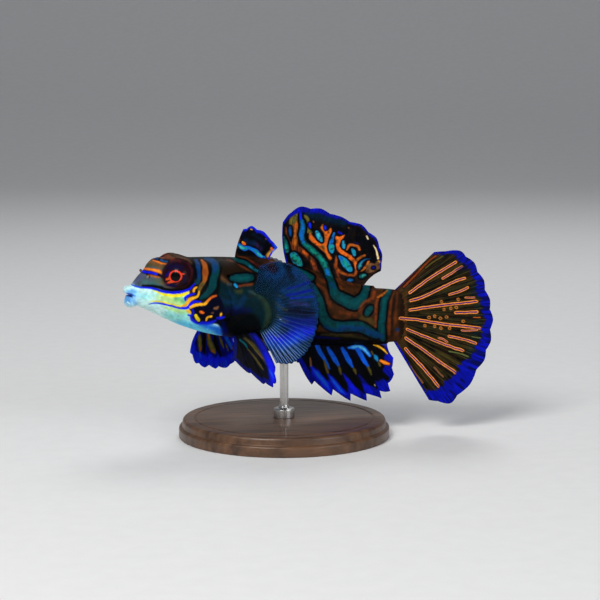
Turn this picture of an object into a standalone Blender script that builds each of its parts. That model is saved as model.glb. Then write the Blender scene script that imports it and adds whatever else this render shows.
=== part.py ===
"""Mandarinfish, a still life-size model on a display stand.

The fish faces -X with its back up (+Z) and its left flank towards -Y. Sizes below are in millimetres
and are turned into metres when a mesh is made. The origin is the centre of the stand's underside.
The body is one rounded form that is sliced into head, torso and tail stalk. Each fin is a fan of rays
joined by a membrane that runs a little way into the body and is then trimmed to it with a thin gap.
"""

import math

import bmesh
import bpy
import numpy as np

MM = 0.001
GAP = 0.3

# Body profile: pairs of station along X and size at it.
SNOUT_TIP = -25.3
STALK_END = 18.6
BACK = ((-25.6, 24.5), (-24.8, 25.1), (-23.4, 26.75), (-22.6, 27.55), (-21.9, 28.65), (-21.1, 29.3),
        (-20.0, 29.5), (-18.0, 29.4), (-12.0, 29.3), (-6.5, 29.0), (0.0, 28.0), (6.0, 26.0), (13.0, 23.9),
        (18.6, 23.3))
BELLY = ((-25.6, 23.1), (-24.8, 22.3), (-23.6, 21.85), (-17.0, 18.65), (-12.5, 17.15), (-7.0, 16.1),
         (0.0, 15.3), (9.0, 14.8), (18.6, 14.9))
HALF_WIDTH = ((-25.6, 1.1), (-24.3, 2.1), (-22.3, 3.0), (-19.0, 4.1), (-15.0, 5.4), (-11.0, 6.1),
              (-6.0, 6.0), (0.0, 5.3), (6.0, 4.2), (12.0, 2.8), (16.0, 1.7), (18.6, 0.8))
WIDEST_SHARE = ((-25.0, 0.50), (-16.0, 0.40), (-6.0, 0.44), (6.0, 0.50), (18.6, 0.50))
MIDDLE = ((-20.0, 23.5), (-13.0, 22.6), (-6.0, 22.2), (0.0, 21.6), (9.0, 19.8), (18.6, 19.1))
BACK_ROUNDNESS = 2.05
BELLY_ROUNDNESS = 2.35
TAIL_SWING = 2.2
SWING_START = -2.0
SWING_END = 34.5
HEAD_TURN = math.radians(5)
NECK = -9.0
NECK_START = -4.0
NECK_END = -14.0
GILL_COVER = {"middle": (-13.4, 22.2), "reach": (4.2, 4.6), "rise": 0.5, "edge": 0.1}

# Where the body is parted, and how finely it is faceted.
GILL_LINE = -8.6
LOIN_LINE = 5.4
FACE_CENTRE = -20.0
AROUND = 44
HEAD_RINGS = 17
FACE_RINGS = 20
TORSO_RINGS = 19
STALK_RINGS = 11

# Mouth: two rounded lips that run round the snout, parted by a slit.
MOUTH_LEVEL = 23.7
MOUTH_CORNER = -23.3
LIP_WIDTH = 2.0
LIP_REACH = 1.8
UPPER_LIP = {"level": 24.5, "front": -25.3, "radius": 0.58}
LOWER_LIP = {"level": 22.55, "front": -25.0, "radius": 0.78}
LIP_STEPS = 13
SLIT_HALF = 0.24
SLIT_FLOOR = -24.5

# Eyes, set high on the head and turned a little forward and up.
EYE_CENTRE = (-17.6, 3.1, 26.9)
EYE_AIM = (-0.27, 0.95, 0.12)
EYE_RADIUS = 2.3
ORBIT_RADIUS = 2.95
ORBIT_BACK = 0.85
RIM_OUT = 0.85
RIM_RADIUS = 2.52
RIM_THICK = 0.25

# Nostril tubes and the cheek's backward spine.
NOSTRIL = {"foot": (-22.0, 1.9, 26.4), "tip": (-22.65, 2.95, 27.2), "radius": 0.28}
CHEEK_SPINE = {"foot": (-12.6, 5.2, 19.7), "tip": (-9.9, 6.75, 20.3), "radius": 0.6}
GILL_PORE = {"foot": (-9.9, 3.6, 26.4), "tip": (-9.9, 6.6, 29.4), "radius": 0.45}

# Fins: thickness of ray and membrane at the root and at the margin.
MEMBRANE = 0.5
MEMBRANE_EDGE = 0.26
RIDGE = 0.42
RIDGE_EDGE = 0.12
RIDGE_SHARE = 0.2
ROOT_SINK = 1.2
LOBE_CENTRE = (-5.6, 5.3, 21.0)
LOBE_BACK = (0.94, 0.34, 0.0)
LOBE_UP = (0.0, 0.1, 1.0)
LOBE_RADIUS = 3.0
LOBE_THICK = 1.0

# Display stand.
BASE_RADIUS = 17.0
BASE_HEIGHT = 3.0
BASE_BEVEL = 0.25
BASE_STEP = 0.5
BASE_STEP_HEIGHT = 1.75
BASE_SIDES = 52
ROD_RADIUS = 0.7
ROD_SIDES = 20
COLLAR_RADIUS = 1.7
COLLAR_HEIGHT = 1.2
COLLAR_BEVEL = 0.3

COLOURS = {
    "skin": ((0.30, 0.13, 0.045), 0.38),
    "eye": ((0.16, 0.02, 0.015), 0.10),
    "fin": ((0.02, 0.04, 0.42), 0.42),
    "tail_fin": ((0.16, 0.07, 0.03), 0.42),
    "clear_fin": ((0.10, 0.20, 0.55), 0.40),
    "stand": ((0.03, 0.03, 0.035), 0.45),
    "rod": ((0.62, 0.62, 0.64), 0.28),
}


def through(knots, at):
    """Values at the given stations of a smooth curve through the knots that never overshoots them."""
    stations, values = np.array(knots, float).T
    at = np.asarray(at, float)
    run = np.diff(stations)
    slope = np.diff(values) / run
    before, after = slope[:-1], slope[1:]
    near, far = 2 * run[1:] + run[:-1], run[1:] + 2 * run[:-1]
    same_way = before * after > 0
    safe_before, safe_after = np.where(same_way, before, 1.0), np.where(same_way, after, 1.0)
    tangent = np.zeros(len(stations))
    tangent[1:-1] = np.where(same_way, (near + far) / (near / safe_before + far / safe_after), 0.0)
    tangent[0], tangent[-1] = slope[0], slope[-1]
    i = np.clip(np.searchsorted(stations, at) - 1, 0, len(run) - 1)
    t = np.clip((at - stations[i]) / run[i], 0.0, 1.0)
    return (
        values[i] * (2 * t**3 - 3 * t**2 + 1)
        + tangent[i] * run[i] * (t**3 - 2 * t**2 + t)
        + values[i + 1] * (3 * t**2 - 2 * t**3)
        + tangent[i + 1] * run[i] * (t**3 - t**2)
    )


def unit(vector):
    """The vector or vectors at length one."""
    vector = np.asarray(vector, float)
    return vector / np.linalg.norm(vector, axis=-1, keepdims=True)


def swing(x):
    """How far the tail has swung towards the left flank at a station."""
    share = np.clip((np.asarray(x, float) - SWING_START) / (SWING_END - SWING_START), 0.0, 1.0)
    return -TAIL_SWING * share**2


def neck_turn(x):
    """How far the head has turned towards the left flank at a station."""
    share = np.clip((NECK_START - np.asarray(x, float)) / (NECK_START - NECK_END), 0.0, 1.0)
    return HEAD_TURN * share * share * (3 - 2 * share)


def posed(points):
    """Points of the straight fish, moved to where the turned head and swung tail carry them."""
    x, y, z = np.moveaxis(np.asarray(points, float), -1, 0)
    turn = neck_turn(x)
    along = NECK + (x - NECK) * np.cos(turn) - y * np.sin(turn)
    aside = (x - NECK) * np.sin(turn) + y * np.cos(turn) + swing(x)
    return np.stack((along, aside, z), axis=-1)


def straightened(points):
    """Points of the posed fish, moved back to the straight one."""
    along, aside, z = np.moveaxis(np.asarray(points, float), -1, 0)
    x = along
    for _ in range(3):
        turn = neck_turn(x)
        y = aside - swing(x)
        x = NECK + (along - NECK) * np.cos(turn) + y * np.sin(turn)
    return np.stack((x, y * np.cos(turn) - (along - NECK) * np.sin(turn), z), axis=-1)


def blend_union(a, b, reach):
    """The nearer of two distances, with a fillet of about that reach where they meet."""
    share = np.clip(0.5 + 0.5 * (b - a) / reach, 0.0, 1.0)
    return b + (a - b) * share - reach * share * (1 - share)


def mirrored(point, side):
    """A left-right pair's point on one side: -1 is the fish's left flank and 1 its right."""
    return np.array((point[0], side * point[1], point[2]), float)


def trunk_field(points):
    """About how far points of the straight fish lie outside its plain body, without lips or eyes."""
    x, y, z = points.T
    top, bottom, wide = through(BACK, x), through(BELLY, x), through(HALF_WIDTH, x)
    level = bottom + (top - bottom) * through(WIDEST_SHARE, x)
    above = z > level
    high = np.where(above, top - level, level - bottom)
    power = np.where(above, BACK_ROUNDNESS, BELLY_ROUNDNESS)
    a = np.abs(y) / wide + 1e-9
    b = np.abs(z - level) / high + 1e-9
    rho = (a**power + b**power) ** (1 / power)
    steep = rho ** (1 - power) * np.hypot(a ** (power - 1) / wide, b ** (power - 1) / high)
    return np.maximum((rho - 1) / steep, SNOUT_TIP - x)


def gill_cover(points):
    """How far the gill cover stands out: a shallow swell on each cheek with a clear hind edge."""
    x, y, z = points.T
    across = (x - GILL_COVER["middle"][0]) / GILL_COVER["reach"][0]
    up = (z - GILL_COVER["middle"][1]) / GILL_COVER["reach"][1]
    away = np.hypot(across, up)
    swell = np.clip((1 - away) / np.where(across > 0, GILL_COVER["edge"], 1.0), 0.0, 1.0)
    side = np.clip(np.abs(y) / 2.0 - 0.5, 0.0, 1.0)
    return GILL_COVER["rise"] * swell * swell * (3 - 2 * swell) * side * np.clip(1 + across, 0.0, 1.0)


def lip_field(points, lip):
    """Distance outside one lip: a rounded cord bent round the snout, thinner at the mouth's corners."""
    turn = np.linspace(-0.5 * math.pi, 0.5 * math.pi, LIP_STEPS)
    centre = np.column_stack((
        lip["front"] + LIP_REACH * (1 - np.cos(turn)),
        LIP_WIDTH * np.sin(turn),
        lip["level"] + (MOUTH_LEVEL - lip["level"]) * np.sin(turn) ** 4,
    ))
    radius = lip["radius"] * (1 - 0.45 * np.sin(turn) ** 4)
    away = np.linalg.norm(points[:, None, :] - centre[None], axis=2) - radius[None]
    return away.min(axis=1)


def rim_field(points, side):
    """Distance outside the ring of skin round an eye."""
    aim = unit(mirrored(EYE_AIM, side))
    offset = points - mirrored(EYE_CENTRE, side) - RIM_OUT * aim
    along = offset @ aim
    out = np.linalg.norm(offset - along[:, None] * aim, axis=1)
    return np.hypot(out - RIM_RADIUS, along) - RIM_THICK


def lobe_field(points, side):
    """About how far points lie outside the fleshy lobe that carries a pectoral fin's rays."""
    back, up = unit(mirrored(LOBE_BACK, side)), unit(mirrored(LOBE_UP, side))
    offset = points - mirrored(LOBE_CENTRE, side)
    across = np.hypot(offset @ back, offset @ up) / LOBE_RADIUS
    out = (offset @ unit(np.cross(back, up))) / LOBE_THICK
    size = np.hypot(across, out) + 1e-9
    return (size - 1) * size / np.hypot(across / LOBE_RADIUS, out / LOBE_THICK).clip(1e-9)


def body_field(points):
    """About how far points of the posed fish lie outside the whole body."""
    field = np.minimum(lobe_field(points, -1), lobe_field(points, 1))
    points = straightened(points)
    field = blend_union(trunk_field(points) - gill_cover(points), field, 0.4)
    face = points[:, 0] < EYE_CENTRE[0] + 2 * ORBIT_RADIUS
    near = points[face]
    value = field[face]
    for side in (-1, 1):
        middle = mirrored(EYE_CENTRE, side) - ORBIT_BACK * unit(mirrored(EYE_AIM, side))
        socket = np.linalg.norm(near - middle, axis=1) - ORBIT_RADIUS
        value = blend_union(value, socket, 0.9)
        value = blend_union(value, rim_field(near, side), 0.35)
    for lip in (UPPER_LIP, LOWER_LIP):
        value = blend_union(value, lip_field(near, lip), 0.4)
    slit = np.maximum(np.abs(near[:, 2] - MOUTH_LEVEL) - SLIT_HALF, near[:, 0] - SLIT_FLOOR)
    across = np.hypot(near[:, 1] / LIP_WIDTH, (near[:, 0] - MOUTH_CORNER) / 1.2)
    slit = np.maximum(slit, 0.8 - across)
    field[face] = np.maximum(value, -slit)
    return field


def on_axis(along):
    """The posed body's middle where its section at that X lies."""
    x = float(straightened((along, float(posed((along, 0.0, 0.0))[1]), 0.0))[0])
    y = float(posed((x, 0.0, 0.0))[1])
    return np.array((along, y, float(through(MIDDLE, x))))


def skin_rays(stations, face_angles):
    """Origins and directions of the rays on which the skin is found, ring by ring from the snout."""
    turn = np.linspace(0, 2 * math.pi, AROUND, endpoint=False)
    radial = np.column_stack((np.zeros(AROUND), np.sin(turn), np.cos(turn)))
    rings = []
    for angle in face_angles:
        way = math.sin(angle) * radial + np.array((-math.cos(angle), 0.0, 0.0))
        rings.append((np.tile(on_axis(FACE_CENTRE), (AROUND, 1)), way))
    for x in stations:
        rings.append((np.tile(on_axis(x), (AROUND, 1)), radial))
    origins = np.array([ring[0] for ring in rings])
    ways = np.array([ring[1] for ring in rings])
    return origins, ways


def skin_points(origins, ways, grow=0.0):
    """Where each ray leaves the body, grown by a clearance."""
    shape = origins.shape
    origins, ways = origins.reshape(-1, 3), ways.reshape(-1, 3)
    reaches = np.linspace(0.3, 11.0, 90)
    outside = np.array([body_field(origins + r * ways) > grow for r in reaches])
    last_inside = len(reaches) - 1 - np.argmax(~outside[::-1], axis=0)
    low = reaches[last_inside]
    high = reaches[np.minimum(last_inside + 1, len(reaches) - 1)]
    for _ in range(14):
        middle = 0.5 * (low + high)
        out = body_field(origins + middle[:, None] * ways) > grow
        low, high = np.where(out, low, middle), np.where(out, middle, high)
    return (origins + high[:, None] * ways).reshape(shape)


def new_object(name, vertices, faces, colour=None):
    """A closed mesh object from points in millimetres, its faces turned outwards."""
    mesh = bpy.data.meshes.new(name)
    mesh.from_pydata([tuple(v) for v in np.asarray(vertices, float) * MM], [], faces)
    work = bmesh.new()
    work.from_mesh(mesh)
    bmesh.ops.recalc_face_normals(work, faces=work.faces)
    work.to_mesh(mesh)
    work.free()
    obj = bpy.data.objects.new(name, mesh)
    bpy.context.scene.collection.objects.link(obj)
    if colour:
        finish(obj, colour)
    return obj


def finish(obj, colour):
    """Gives the object its plain material and smooth shading."""
    material = bpy.data.materials.get(colour) or bpy.data.materials.new(colour)
    material.use_nodes = True
    shader = material.node_tree.nodes["Principled BSDF"]
    tint, roughness = COLOURS[colour]
    shader.inputs["Base Color"].default_value = (*tint, 1.0)
    shader.inputs["Roughness"].default_value = roughness
    shader.inputs["Metallic"].default_value = 1.0 if colour == "rod" else 0.0
    obj.data.materials.clear()
    obj.data.materials.append(material)
    obj.data.shade_smooth()
    obj.data.set_sharp_from_angle(angle=math.radians(40))


def tube_faces(rings, around):
    """Quads between rings of equal size, in order."""
    faces = []
    for i in range(rings - 1):
        for j in range(around):
            k = (j + 1) % around
            faces.append((i * around + j, i * around + k, (i + 1) * around + k, (i + 1) * around + j))
    return faces


def lofted(name, rings, colour=None, pole=None):
    """A closed body from rings of points: a fan closes each end, and a pole rounds off the first."""
    count, around = len(rings), len(rings[0])
    vertices = [point for ring in rings for point in ring]
    faces = tube_faces(count, around)
    vertices.append(np.mean(rings[0], axis=0) if pole is None else pole)
    vertices.append(np.mean(rings[-1], axis=0))
    first, last = len(vertices) - 2, len(vertices) - 1
    for j in range(around):
        k = (j + 1) % around
        faces.append((first, k, j))
        faces.append((last, (count - 1) * around + j, (count - 1) * around + k))
    return new_object(name, vertices, faces, colour)


def largest_body(obj):
    """Keeps only the object's largest closed surface."""
    work = bmesh.new()
    work.from_mesh(obj.data)
    unseen, islands = set(work.verts), []
    while unseen:
        island, front = set(), [unseen.pop()]
        while front:
            vertex = front.pop()
            island.add(vertex)
            linked = {edge.other_vert(vertex) for edge in vertex.link_edges} & unseen
            unseen -= linked
            front.extend(linked)
        islands.append(island)
    islands.sort(key=len)
    for island in islands[:-1]:
        bmesh.ops.delete(work, geom=list(island), context="VERTS")
    work.to_mesh(obj.data)
    work.free()


def combine(obj, others, operation, colour):
    """Joins other closed meshes to the object, or cuts them from it, and removes them."""
    bunch = bpy.data.collections.new("pieces")
    bpy.context.scene.collection.children.link(bunch)
    for other in others:
        bpy.context.scene.collection.objects.unlink(other)
        bunch.objects.link(other)
    boolean = obj.modifiers.new("combine", "BOOLEAN")
    boolean.operation = operation
    boolean.operand_type = "COLLECTION"
    boolean.collection = bunch
    boolean.solver = "EXACT"
    bpy.context.view_layer.update()
    graph = bpy.context.evaluated_depsgraph_get()
    made = bpy.data.meshes.new_from_object(obj.evaluated_get(graph))
    obj.modifiers.clear()
    obj.data = made
    for other in others:
        bpy.data.objects.remove(other)
    bpy.data.collections.remove(bunch)
    largest_body(obj)
    finish(obj, colour)
    return obj


def ball(name, centre, radius, segments=24, rings=14):
    """A closed sphere."""
    turn = np.linspace(0, 2 * math.pi, segments, endpoint=False)
    tilt = np.linspace(0, math.pi, rings + 1)[1:-1]
    centre = np.asarray(centre, float)
    loops = [
        centre + radius * np.column_stack((
            np.full(segments, -math.cos(a)), math.sin(a) * np.cos(turn), math.sin(a) * np.sin(turn)))
        for a in tilt
    ]
    sphere = lofted(name, loops, pole=centre - (radius, 0, 0))
    sphere.data.vertices[len(sphere.data.vertices) - 1].co = (centre + (radius, 0, 0)) * MM
    return sphere


def spike(name, foot, tip, radius, blunt, sides=8, bow=0.0):
    """A closed, tapering rod from foot to tip, whose end is a blunt share of its foot and which may bow."""
    foot, tip = np.asarray(foot, float), np.asarray(tip, float)
    axis = unit(tip - foot)
    side = unit(np.cross(axis, (0.0, 0.0, 1.0)))
    rise = np.cross(side, axis)
    turn = np.linspace(0, 2 * math.pi, sides, endpoint=False)
    loops = []
    for share in (0.0, 0.35, 0.7, 1.0):
        size = radius * (1 - (1 - blunt) * share)
        centre = foot + (tip - foot) * share + rise * bow * share**2
        loops.append(centre + size * (np.outer(np.cos(turn), side) + np.outer(np.sin(turn), rise)))
    return lofted(name, loops)


def make_body():
    """Head, torso and tail stalk, and the grown copy of the whole that trims what meets it."""
    slot = 0.5 * GAP
    face_angles = np.radians(90) * (np.arange(1, FACE_RINGS + 1) / (FACE_RINGS + 1)) ** 1.15
    head_x = np.linspace(FACE_CENTRE, GILL_LINE - slot, HEAD_RINGS)
    torso_x = np.linspace(GILL_LINE + slot, LOIN_LINE - slot, TORSO_RINGS)
    stalk_x = np.linspace(LOIN_LINE + slot, STALK_END, STALK_RINGS)
    pole_way = np.array([[[-1.0, 0.0, 0.0]]])
    pole_from = on_axis(FACE_CENTRE)[None, None]

    pole = skin_points(pole_from, pole_way)[0, 0]
    head = lofted("head", skin_points(*skin_rays(head_x, face_angles)), "skin", pole)
    lofted("torso", skin_points(*skin_rays(torso_x, ())), "skin")
    lofted("tail_stalk", skin_points(*skin_rays(stalk_x, ())), "skin")

    whole_x = np.concatenate((head_x, torso_x, stalk_x[1:-1], [STALK_END + GAP]))
    grown = skin_points(*skin_rays(whole_x, face_angles), grow=GAP)
    clearance = lofted("clearance", grown, pole=pole - (GAP, 0, 0))
    clearance.hide_render = True
    clearance.display_type = "WIRE"
    return head, clearance


def dress_head(head):
    """Adds nostrils and cheek spines to the head, and cuts the eye sockets and gill pores."""
    added = []
    for side in (-1, 1):
        for form, blunt, bow in ((NOSTRIL, 0.7, 0.0), (CHEEK_SPINE, 0.12, 0.5)):
            foot, tip = posed(mirrored(form["foot"], side)), posed(mirrored(form["tip"], side))
            added.append(spike("form", foot, tip, form["radius"], blunt, bow=bow))
    combine(head, added, "UNION", "skin")
    holes = [ball("socket", posed(mirrored(EYE_CENTRE, side)), EYE_RADIUS + GAP, 28, 16) for side in (-1, 1)]
    for side in (-1, 1):
        foot, tip = posed(mirrored(GILL_PORE["foot"], side)), posed(mirrored(GILL_PORE["tip"], side))
        holes.append(spike("pore", foot, tip, GILL_PORE["radius"], 1.0))
    combine(head, holes, "DIFFERENCE", "skin")


def make_eyes():
    """The two eyeballs in their sockets."""
    for name, side in (("eye_left", -1), ("eye_right", 1)):
        eye = ball(name, posed(mirrored(EYE_CENTRE, side)), EYE_RADIUS)
        finish(eye, "eye")


class Fan:
    """A fin's rays, from the first (share 0) to the last (share 1), as a sheet of points."""

    def __init__(self, root, angles, lengths, along=(1, 0, 0), across=(0, 0, 1), bow=0.0, curl=0.0,
                 ripple=0.0, midline=False):
        """root holds points that the rays leave from; angles (degrees) turn from along to across."""
        self.root, self.angles, self.lengths = root, angles, lengths
        self.along, self.across = unit(along), unit(across)
        self.normal = unit(np.cross(self.along, self.across))
        self.bow, self.curl, self.ripple, self.midline = bow, curl, ripple, midline

    def knot(self, values, share):
        """A value that goes smoothly through evenly spaced knots."""
        return float(through(np.column_stack((np.linspace(0, 1, len(values)), values)), share))

    def point(self, share, out, reach=1.0):
        """The point a given share of the way out along the ray at that share of the fan."""
        root = np.array([self.knot([point[i] for point in self.root], share) for i in range(3)])
        angle = math.radians(self.knot(self.angles, share))
        length = self.knot(self.lengths, share) * reach
        way = math.cos(angle) * self.along + math.sin(angle) * self.across
        aside = -math.sin(angle) * self.along + math.cos(angle) * self.across
        beyond = max(out, 0.0)
        arch = self.bow * 4 * beyond * (1 - beyond)
        lean = self.curl * beyond**2 * length + self.ripple * beyond * math.sin(3 * math.pi * share)
        place = root + out * length * way + arch * aside + lean * self.normal
        return posed(place) if self.midline else place

    def sheet(self, rays, rows, notch=0.05, notch_at=0.5, ridged=True, sink=ROOT_SINK):
        """Centre points and thickness of the fin, column by column, with a ridge on every ray."""
        steps = (0.0, RIDGE_SHARE, 0.5, 1 - RIDGE_SHARE) if ridged else (0.0, 0.5)
        steps = tuple(min(step, notch_at) if step == RIDGE_SHARE else step for step in steps)
        places = [ray + step for ray in range(rays - 1) for step in steps] + [rays - 1.0]
        points, thick = [], []
        for place in places:
            share, step = place / (rays - 1), place % 1
            cut = notch * (step / notch_at if step <= notch_at else (1 - step) / (1 - notch_at))
            sunk = sink / self.knot(self.lengths, share)
            outs = np.linspace(0, 1, rows)
            column = [self.point(share, -sunk)]
            column += [self.point(share, out, 1 - cut * out) for out in outs]
            points.append(column)
            full = MEMBRANE + (MEMBRANE_EDGE - MEMBRANE) * outs
            full = full + (RIDGE + (RIDGE_EDGE - RIDGE) * outs) * (step == 0.0)
            full = np.concatenate((full[:1], full))
            thick.append(full)
        return np.array(points), np.array(thick)


def closed_sheet(name, points, thick, colour):
    """A closed fin: the sheet thickened both ways, split into the same triangles on both faces."""
    columns, rows = points.shape[:2]
    down = np.gradient(points, axis=0)
    along = np.gradient(points, axis=1)
    normal = unit(np.cross(down, along))
    half = 0.5 * thick[..., None] * normal
    vertices = np.concatenate(((points + half).reshape(-1, 3), (points - half).reshape(-1, 3)))
    back = columns * rows
    faces = []
    for i in range(columns - 1):
        for j in range(rows - 1):
            a, b, c, d = i * rows + j, (i + 1) * rows + j, (i + 1) * rows + j + 1, i * rows + j + 1
            faces += [(a, b, c), (a, c, d), (back + a, back + c, back + b), (back + a, back + d, back + c)]
    edge = [i * rows for i in range(columns)]
    edge += [(columns - 1) * rows + j for j in range(1, rows)]
    edge += [i * rows + rows - 1 for i in range(columns - 2, -1, -1)]
    edge += list(range(rows - 2, 0, -1))
    for p, q in zip(edge, edge[1:] + edge[:1]):
        faces += [(p, back + p, back + q), (p, back + q, q)]
    return new_object(name, vertices, faces, colour)


def trimmed(fin, clearance, colour):
    """Cuts the buried root off a fin or rod, a thin gap above the body."""
    copy = bpy.data.objects.new("cutter", clearance.data.copy())
    bpy.context.scene.collection.objects.link(copy)
    return combine(fin, [copy], "DIFFERENCE", colour)


def on_back(x, sunk=0.0):
    """A point on the midline of the back."""
    return (x, 0.0, float(through(BACK, x)) - sunk)


def on_belly(x, sunk=0.0):
    """A point on the midline of the belly."""
    return (x, 0.0, float(through(BELLY, x)) + sunk)


def make_median_fins(clearance):
    """The two dorsal fins, the anal fin and the tail fin."""
    spiny = Fan([on_back(x) for x in (-7.9, -6.1, -4.2, -2.5)], (73, 80, 78, 54), (4.7, 5.2, 4.5, 2.5),
                bow=0.2, midline=True)
    soft = Fan([on_back(x) for x in (0.4, 4.6, 8.9, 12.8)], (95, 87, 79, 70, 61, 52, 45, 41),
               (6.7, 8.8, 9.8, 10.1, 10.2, 10.1, 9.9, 9.9, 9.9, 9.5, 8.9, 7.9, 6.7, 5.4, 3.9), bow=0.35,
               ripple=0.3, midline=True)
    anal = Fan([on_belly(x) for x in (2.7, 7.4, 12.1, 16.8)], (-101, -90, -80, -73, -68, -64, -63, -61, -67),
               (3.3, 6.8, 8.7, 10.0, 10.4, 10.3, 9.0, 6.0, 2.8), bow=-0.3, ripple=0.3, midline=True)
    tail = Fan([(17.9, 0.0, 23.2), (18.6, 0.0, 19.1), (17.8, 0.0, 15.1)],
               (44, 33, 21, 9, -3, -15, -28, -48.5, -59),
               (9.0, 13.2, 14.4, 15.0, 15.6, 15.7, 15.3, 14.9, 11.6), ripple=0.25, midline=True)
    for name, fan, rays, rows, notch, notch_at, colour in (
        ("fin_dorsal_spiny", spiny, 4, 5, 0.06, 0.5, "fin"),
        ("fin_dorsal_soft", soft, 8, 7, 0.03, 0.5, "fin"),
        ("fin_anal", anal, 9, 7, 0.13, 0.15, "fin"),
        ("fin_tail", tail, 11, 8, 0.025, 0.5, "tail_fin"),
    ):
        sheet = fan.sheet(rays, rows, notch, notch_at)
        trimmed(closed_sheet(name, *sheet, colour), clearance, colour)


def make_paired_fins(clearance):
    """The broad pectoral fans on the flanks and the pelvic fans under the throat."""
    for name, side, top in (
        ("fin_pectoral_left", -1, (4.6, 6.5, 7.2)),
        ("fin_pectoral_right", 1, (3.7, 5.4, 6.6)),
    ):
        back, up = unit(mirrored(LOBE_BACK, side)), unit(mirrored(LOBE_UP, side))
        crescent = [mirrored(LOBE_CENTRE, side) + LOBE_RADIUS * (math.cos(a) * back + math.sin(a) * up)
                    for a in np.radians((92, 46, 8, -32, -74))]
        fan = Fan(crescent, (80, 54, 28, 2, -24, -46, -62), top + (7.5, 7.3, 7.4, 7.5, 7.4, 6.0),
                  along=back, across=up, curl=-0.03 * side)
        sheet = fan.sheet(21, 7, 0.03, ridged=False, sink=1.0)
        trimmed(closed_sheet(name, *sheet, "clear_fin"), clearance, "clear_fin")
    left = Fan([(-8.8, -3.2, 17.2), (-7.1, -4.2, 17.3), (-5.4, -4.6, 17.7)], (-95, -76, -68, -65, -63),
               (4.0, 5.8, 7.7, 9.1, 9.3, 8.0, 6.3), along=(0.92, -0.2, 0.0), across=(0.0, 0.38, 0.92),
               bow=0.3)
    right = Fan([(-13.4, 2.0, 17.5), (-10.5, 3.4, 17.0), (-7.9, 3.8, 17.2)], (-108, -103, -96, -89, -79),
                (4.6, 6.2, 7.0, 7.1, 7.4, 7.3, 5.4), along=(0.97, 0.1, 0.0), across=(0.0, -0.34, 0.94),
                bow=-0.3)
    for name, fan in (("fin_pelvic_left", left), ("fin_pelvic_right", right)):
        sheet = fan.sheet(6, 6, 0.07, 0.3, sink=1.4)
        trimmed(closed_sheet(name, *sheet, "fin"), clearance, "fin")


def turned(name, profile, sides, colour):
    """A closed turned solid about the Z axis from (radius, height) pairs, bottom to top."""
    turn = np.linspace(0, 2 * math.pi, sides, endpoint=False)
    rings = [
        np.column_stack((radius * np.cos(turn), radius * np.sin(turn), np.full(sides, height)))
        for radius, height in profile
    ]
    return lofted(name, rings, colour)


def make_stand(clearance):
    """A round base and a slim rod with a collar that carries the fish under the belly."""
    turned("stand_base", (
        (BASE_RADIUS - BASE_BEVEL, 0.0), (BASE_RADIUS, BASE_BEVEL),
        (BASE_RADIUS, BASE_STEP_HEIGHT - BASE_BEVEL), (BASE_RADIUS - BASE_STEP, BASE_STEP_HEIGHT),
        (BASE_RADIUS - BASE_STEP - 0.5 * BASE_BEVEL, BASE_HEIGHT - 1.5 * BASE_BEVEL),
        (BASE_RADIUS - BASE_STEP - 2 * BASE_BEVEL, BASE_HEIGHT),
    ), BASE_SIDES, "stand")
    foot = BASE_HEIGHT + GAP
    rod = turned("stand_rod", (
        (COLLAR_RADIUS, foot), (COLLAR_RADIUS, foot + COLLAR_HEIGHT - COLLAR_BEVEL),
        (COLLAR_RADIUS - COLLAR_BEVEL, foot + COLLAR_HEIGHT), (ROD_RADIUS, foot + COLLAR_HEIGHT),
        (ROD_RADIUS, on_belly(0.0)[2] + 1.0),
    ), ROD_SIDES, "rod")
    trimmed(rod, clearance, "rod")


def main():
    """Builds the whole model in an empty scene."""
    for obj in list(bpy.data.objects):
        bpy.data.objects.remove(obj)
    head, clearance = make_body()
    dress_head(head)
    make_eyes()
    make_median_fins(clearance)
    make_paired_fins(clearance)
    make_stand(clearance)


main()
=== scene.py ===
"""The mandarinfish model as the photograph shows it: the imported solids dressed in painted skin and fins.

Sizes are in millimetres unless a name says otherwise, and are turned into metres when a mesh is made.
The fish faces -X, its back is up and its left flank faces the camera. Each form is worked out on a
straight fish and then posed: the head turns a little and the tail swings towards the left flank.

Markings are painted on a chart: the straight fish's left flank, posed, as the camera sees it. A chart
place is (along, up), about the fish's own X and Z. Both flanks read the same chart, so they match.
"""

from __future__ import annotations

import logging
import math
from dataclasses import dataclass
from enum import Enum
from itertools import product
from typing import ClassVar

import bmesh
import bpy
import numpy as np
from mathutils import Matrix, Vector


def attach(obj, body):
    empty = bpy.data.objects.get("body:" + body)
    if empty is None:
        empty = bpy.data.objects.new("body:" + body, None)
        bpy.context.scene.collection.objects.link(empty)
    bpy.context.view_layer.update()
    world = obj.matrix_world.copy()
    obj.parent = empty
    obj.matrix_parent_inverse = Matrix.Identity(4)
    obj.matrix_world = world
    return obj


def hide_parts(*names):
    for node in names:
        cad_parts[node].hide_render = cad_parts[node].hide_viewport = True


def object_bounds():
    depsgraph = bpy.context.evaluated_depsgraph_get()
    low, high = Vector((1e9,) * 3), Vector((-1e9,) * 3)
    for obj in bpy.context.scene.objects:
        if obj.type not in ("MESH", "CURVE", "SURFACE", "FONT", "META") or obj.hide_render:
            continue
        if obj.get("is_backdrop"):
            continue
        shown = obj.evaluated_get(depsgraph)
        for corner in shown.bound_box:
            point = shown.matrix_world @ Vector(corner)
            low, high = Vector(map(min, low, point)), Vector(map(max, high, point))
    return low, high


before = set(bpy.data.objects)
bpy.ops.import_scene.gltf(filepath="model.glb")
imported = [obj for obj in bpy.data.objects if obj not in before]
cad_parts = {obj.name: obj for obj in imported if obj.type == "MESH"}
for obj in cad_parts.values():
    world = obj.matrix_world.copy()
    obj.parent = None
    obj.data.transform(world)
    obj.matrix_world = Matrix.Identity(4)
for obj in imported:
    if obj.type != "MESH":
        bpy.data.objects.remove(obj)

LOG = logging.getLogger("mandarinfish")
MM = 0.001
PI = math.pi
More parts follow.
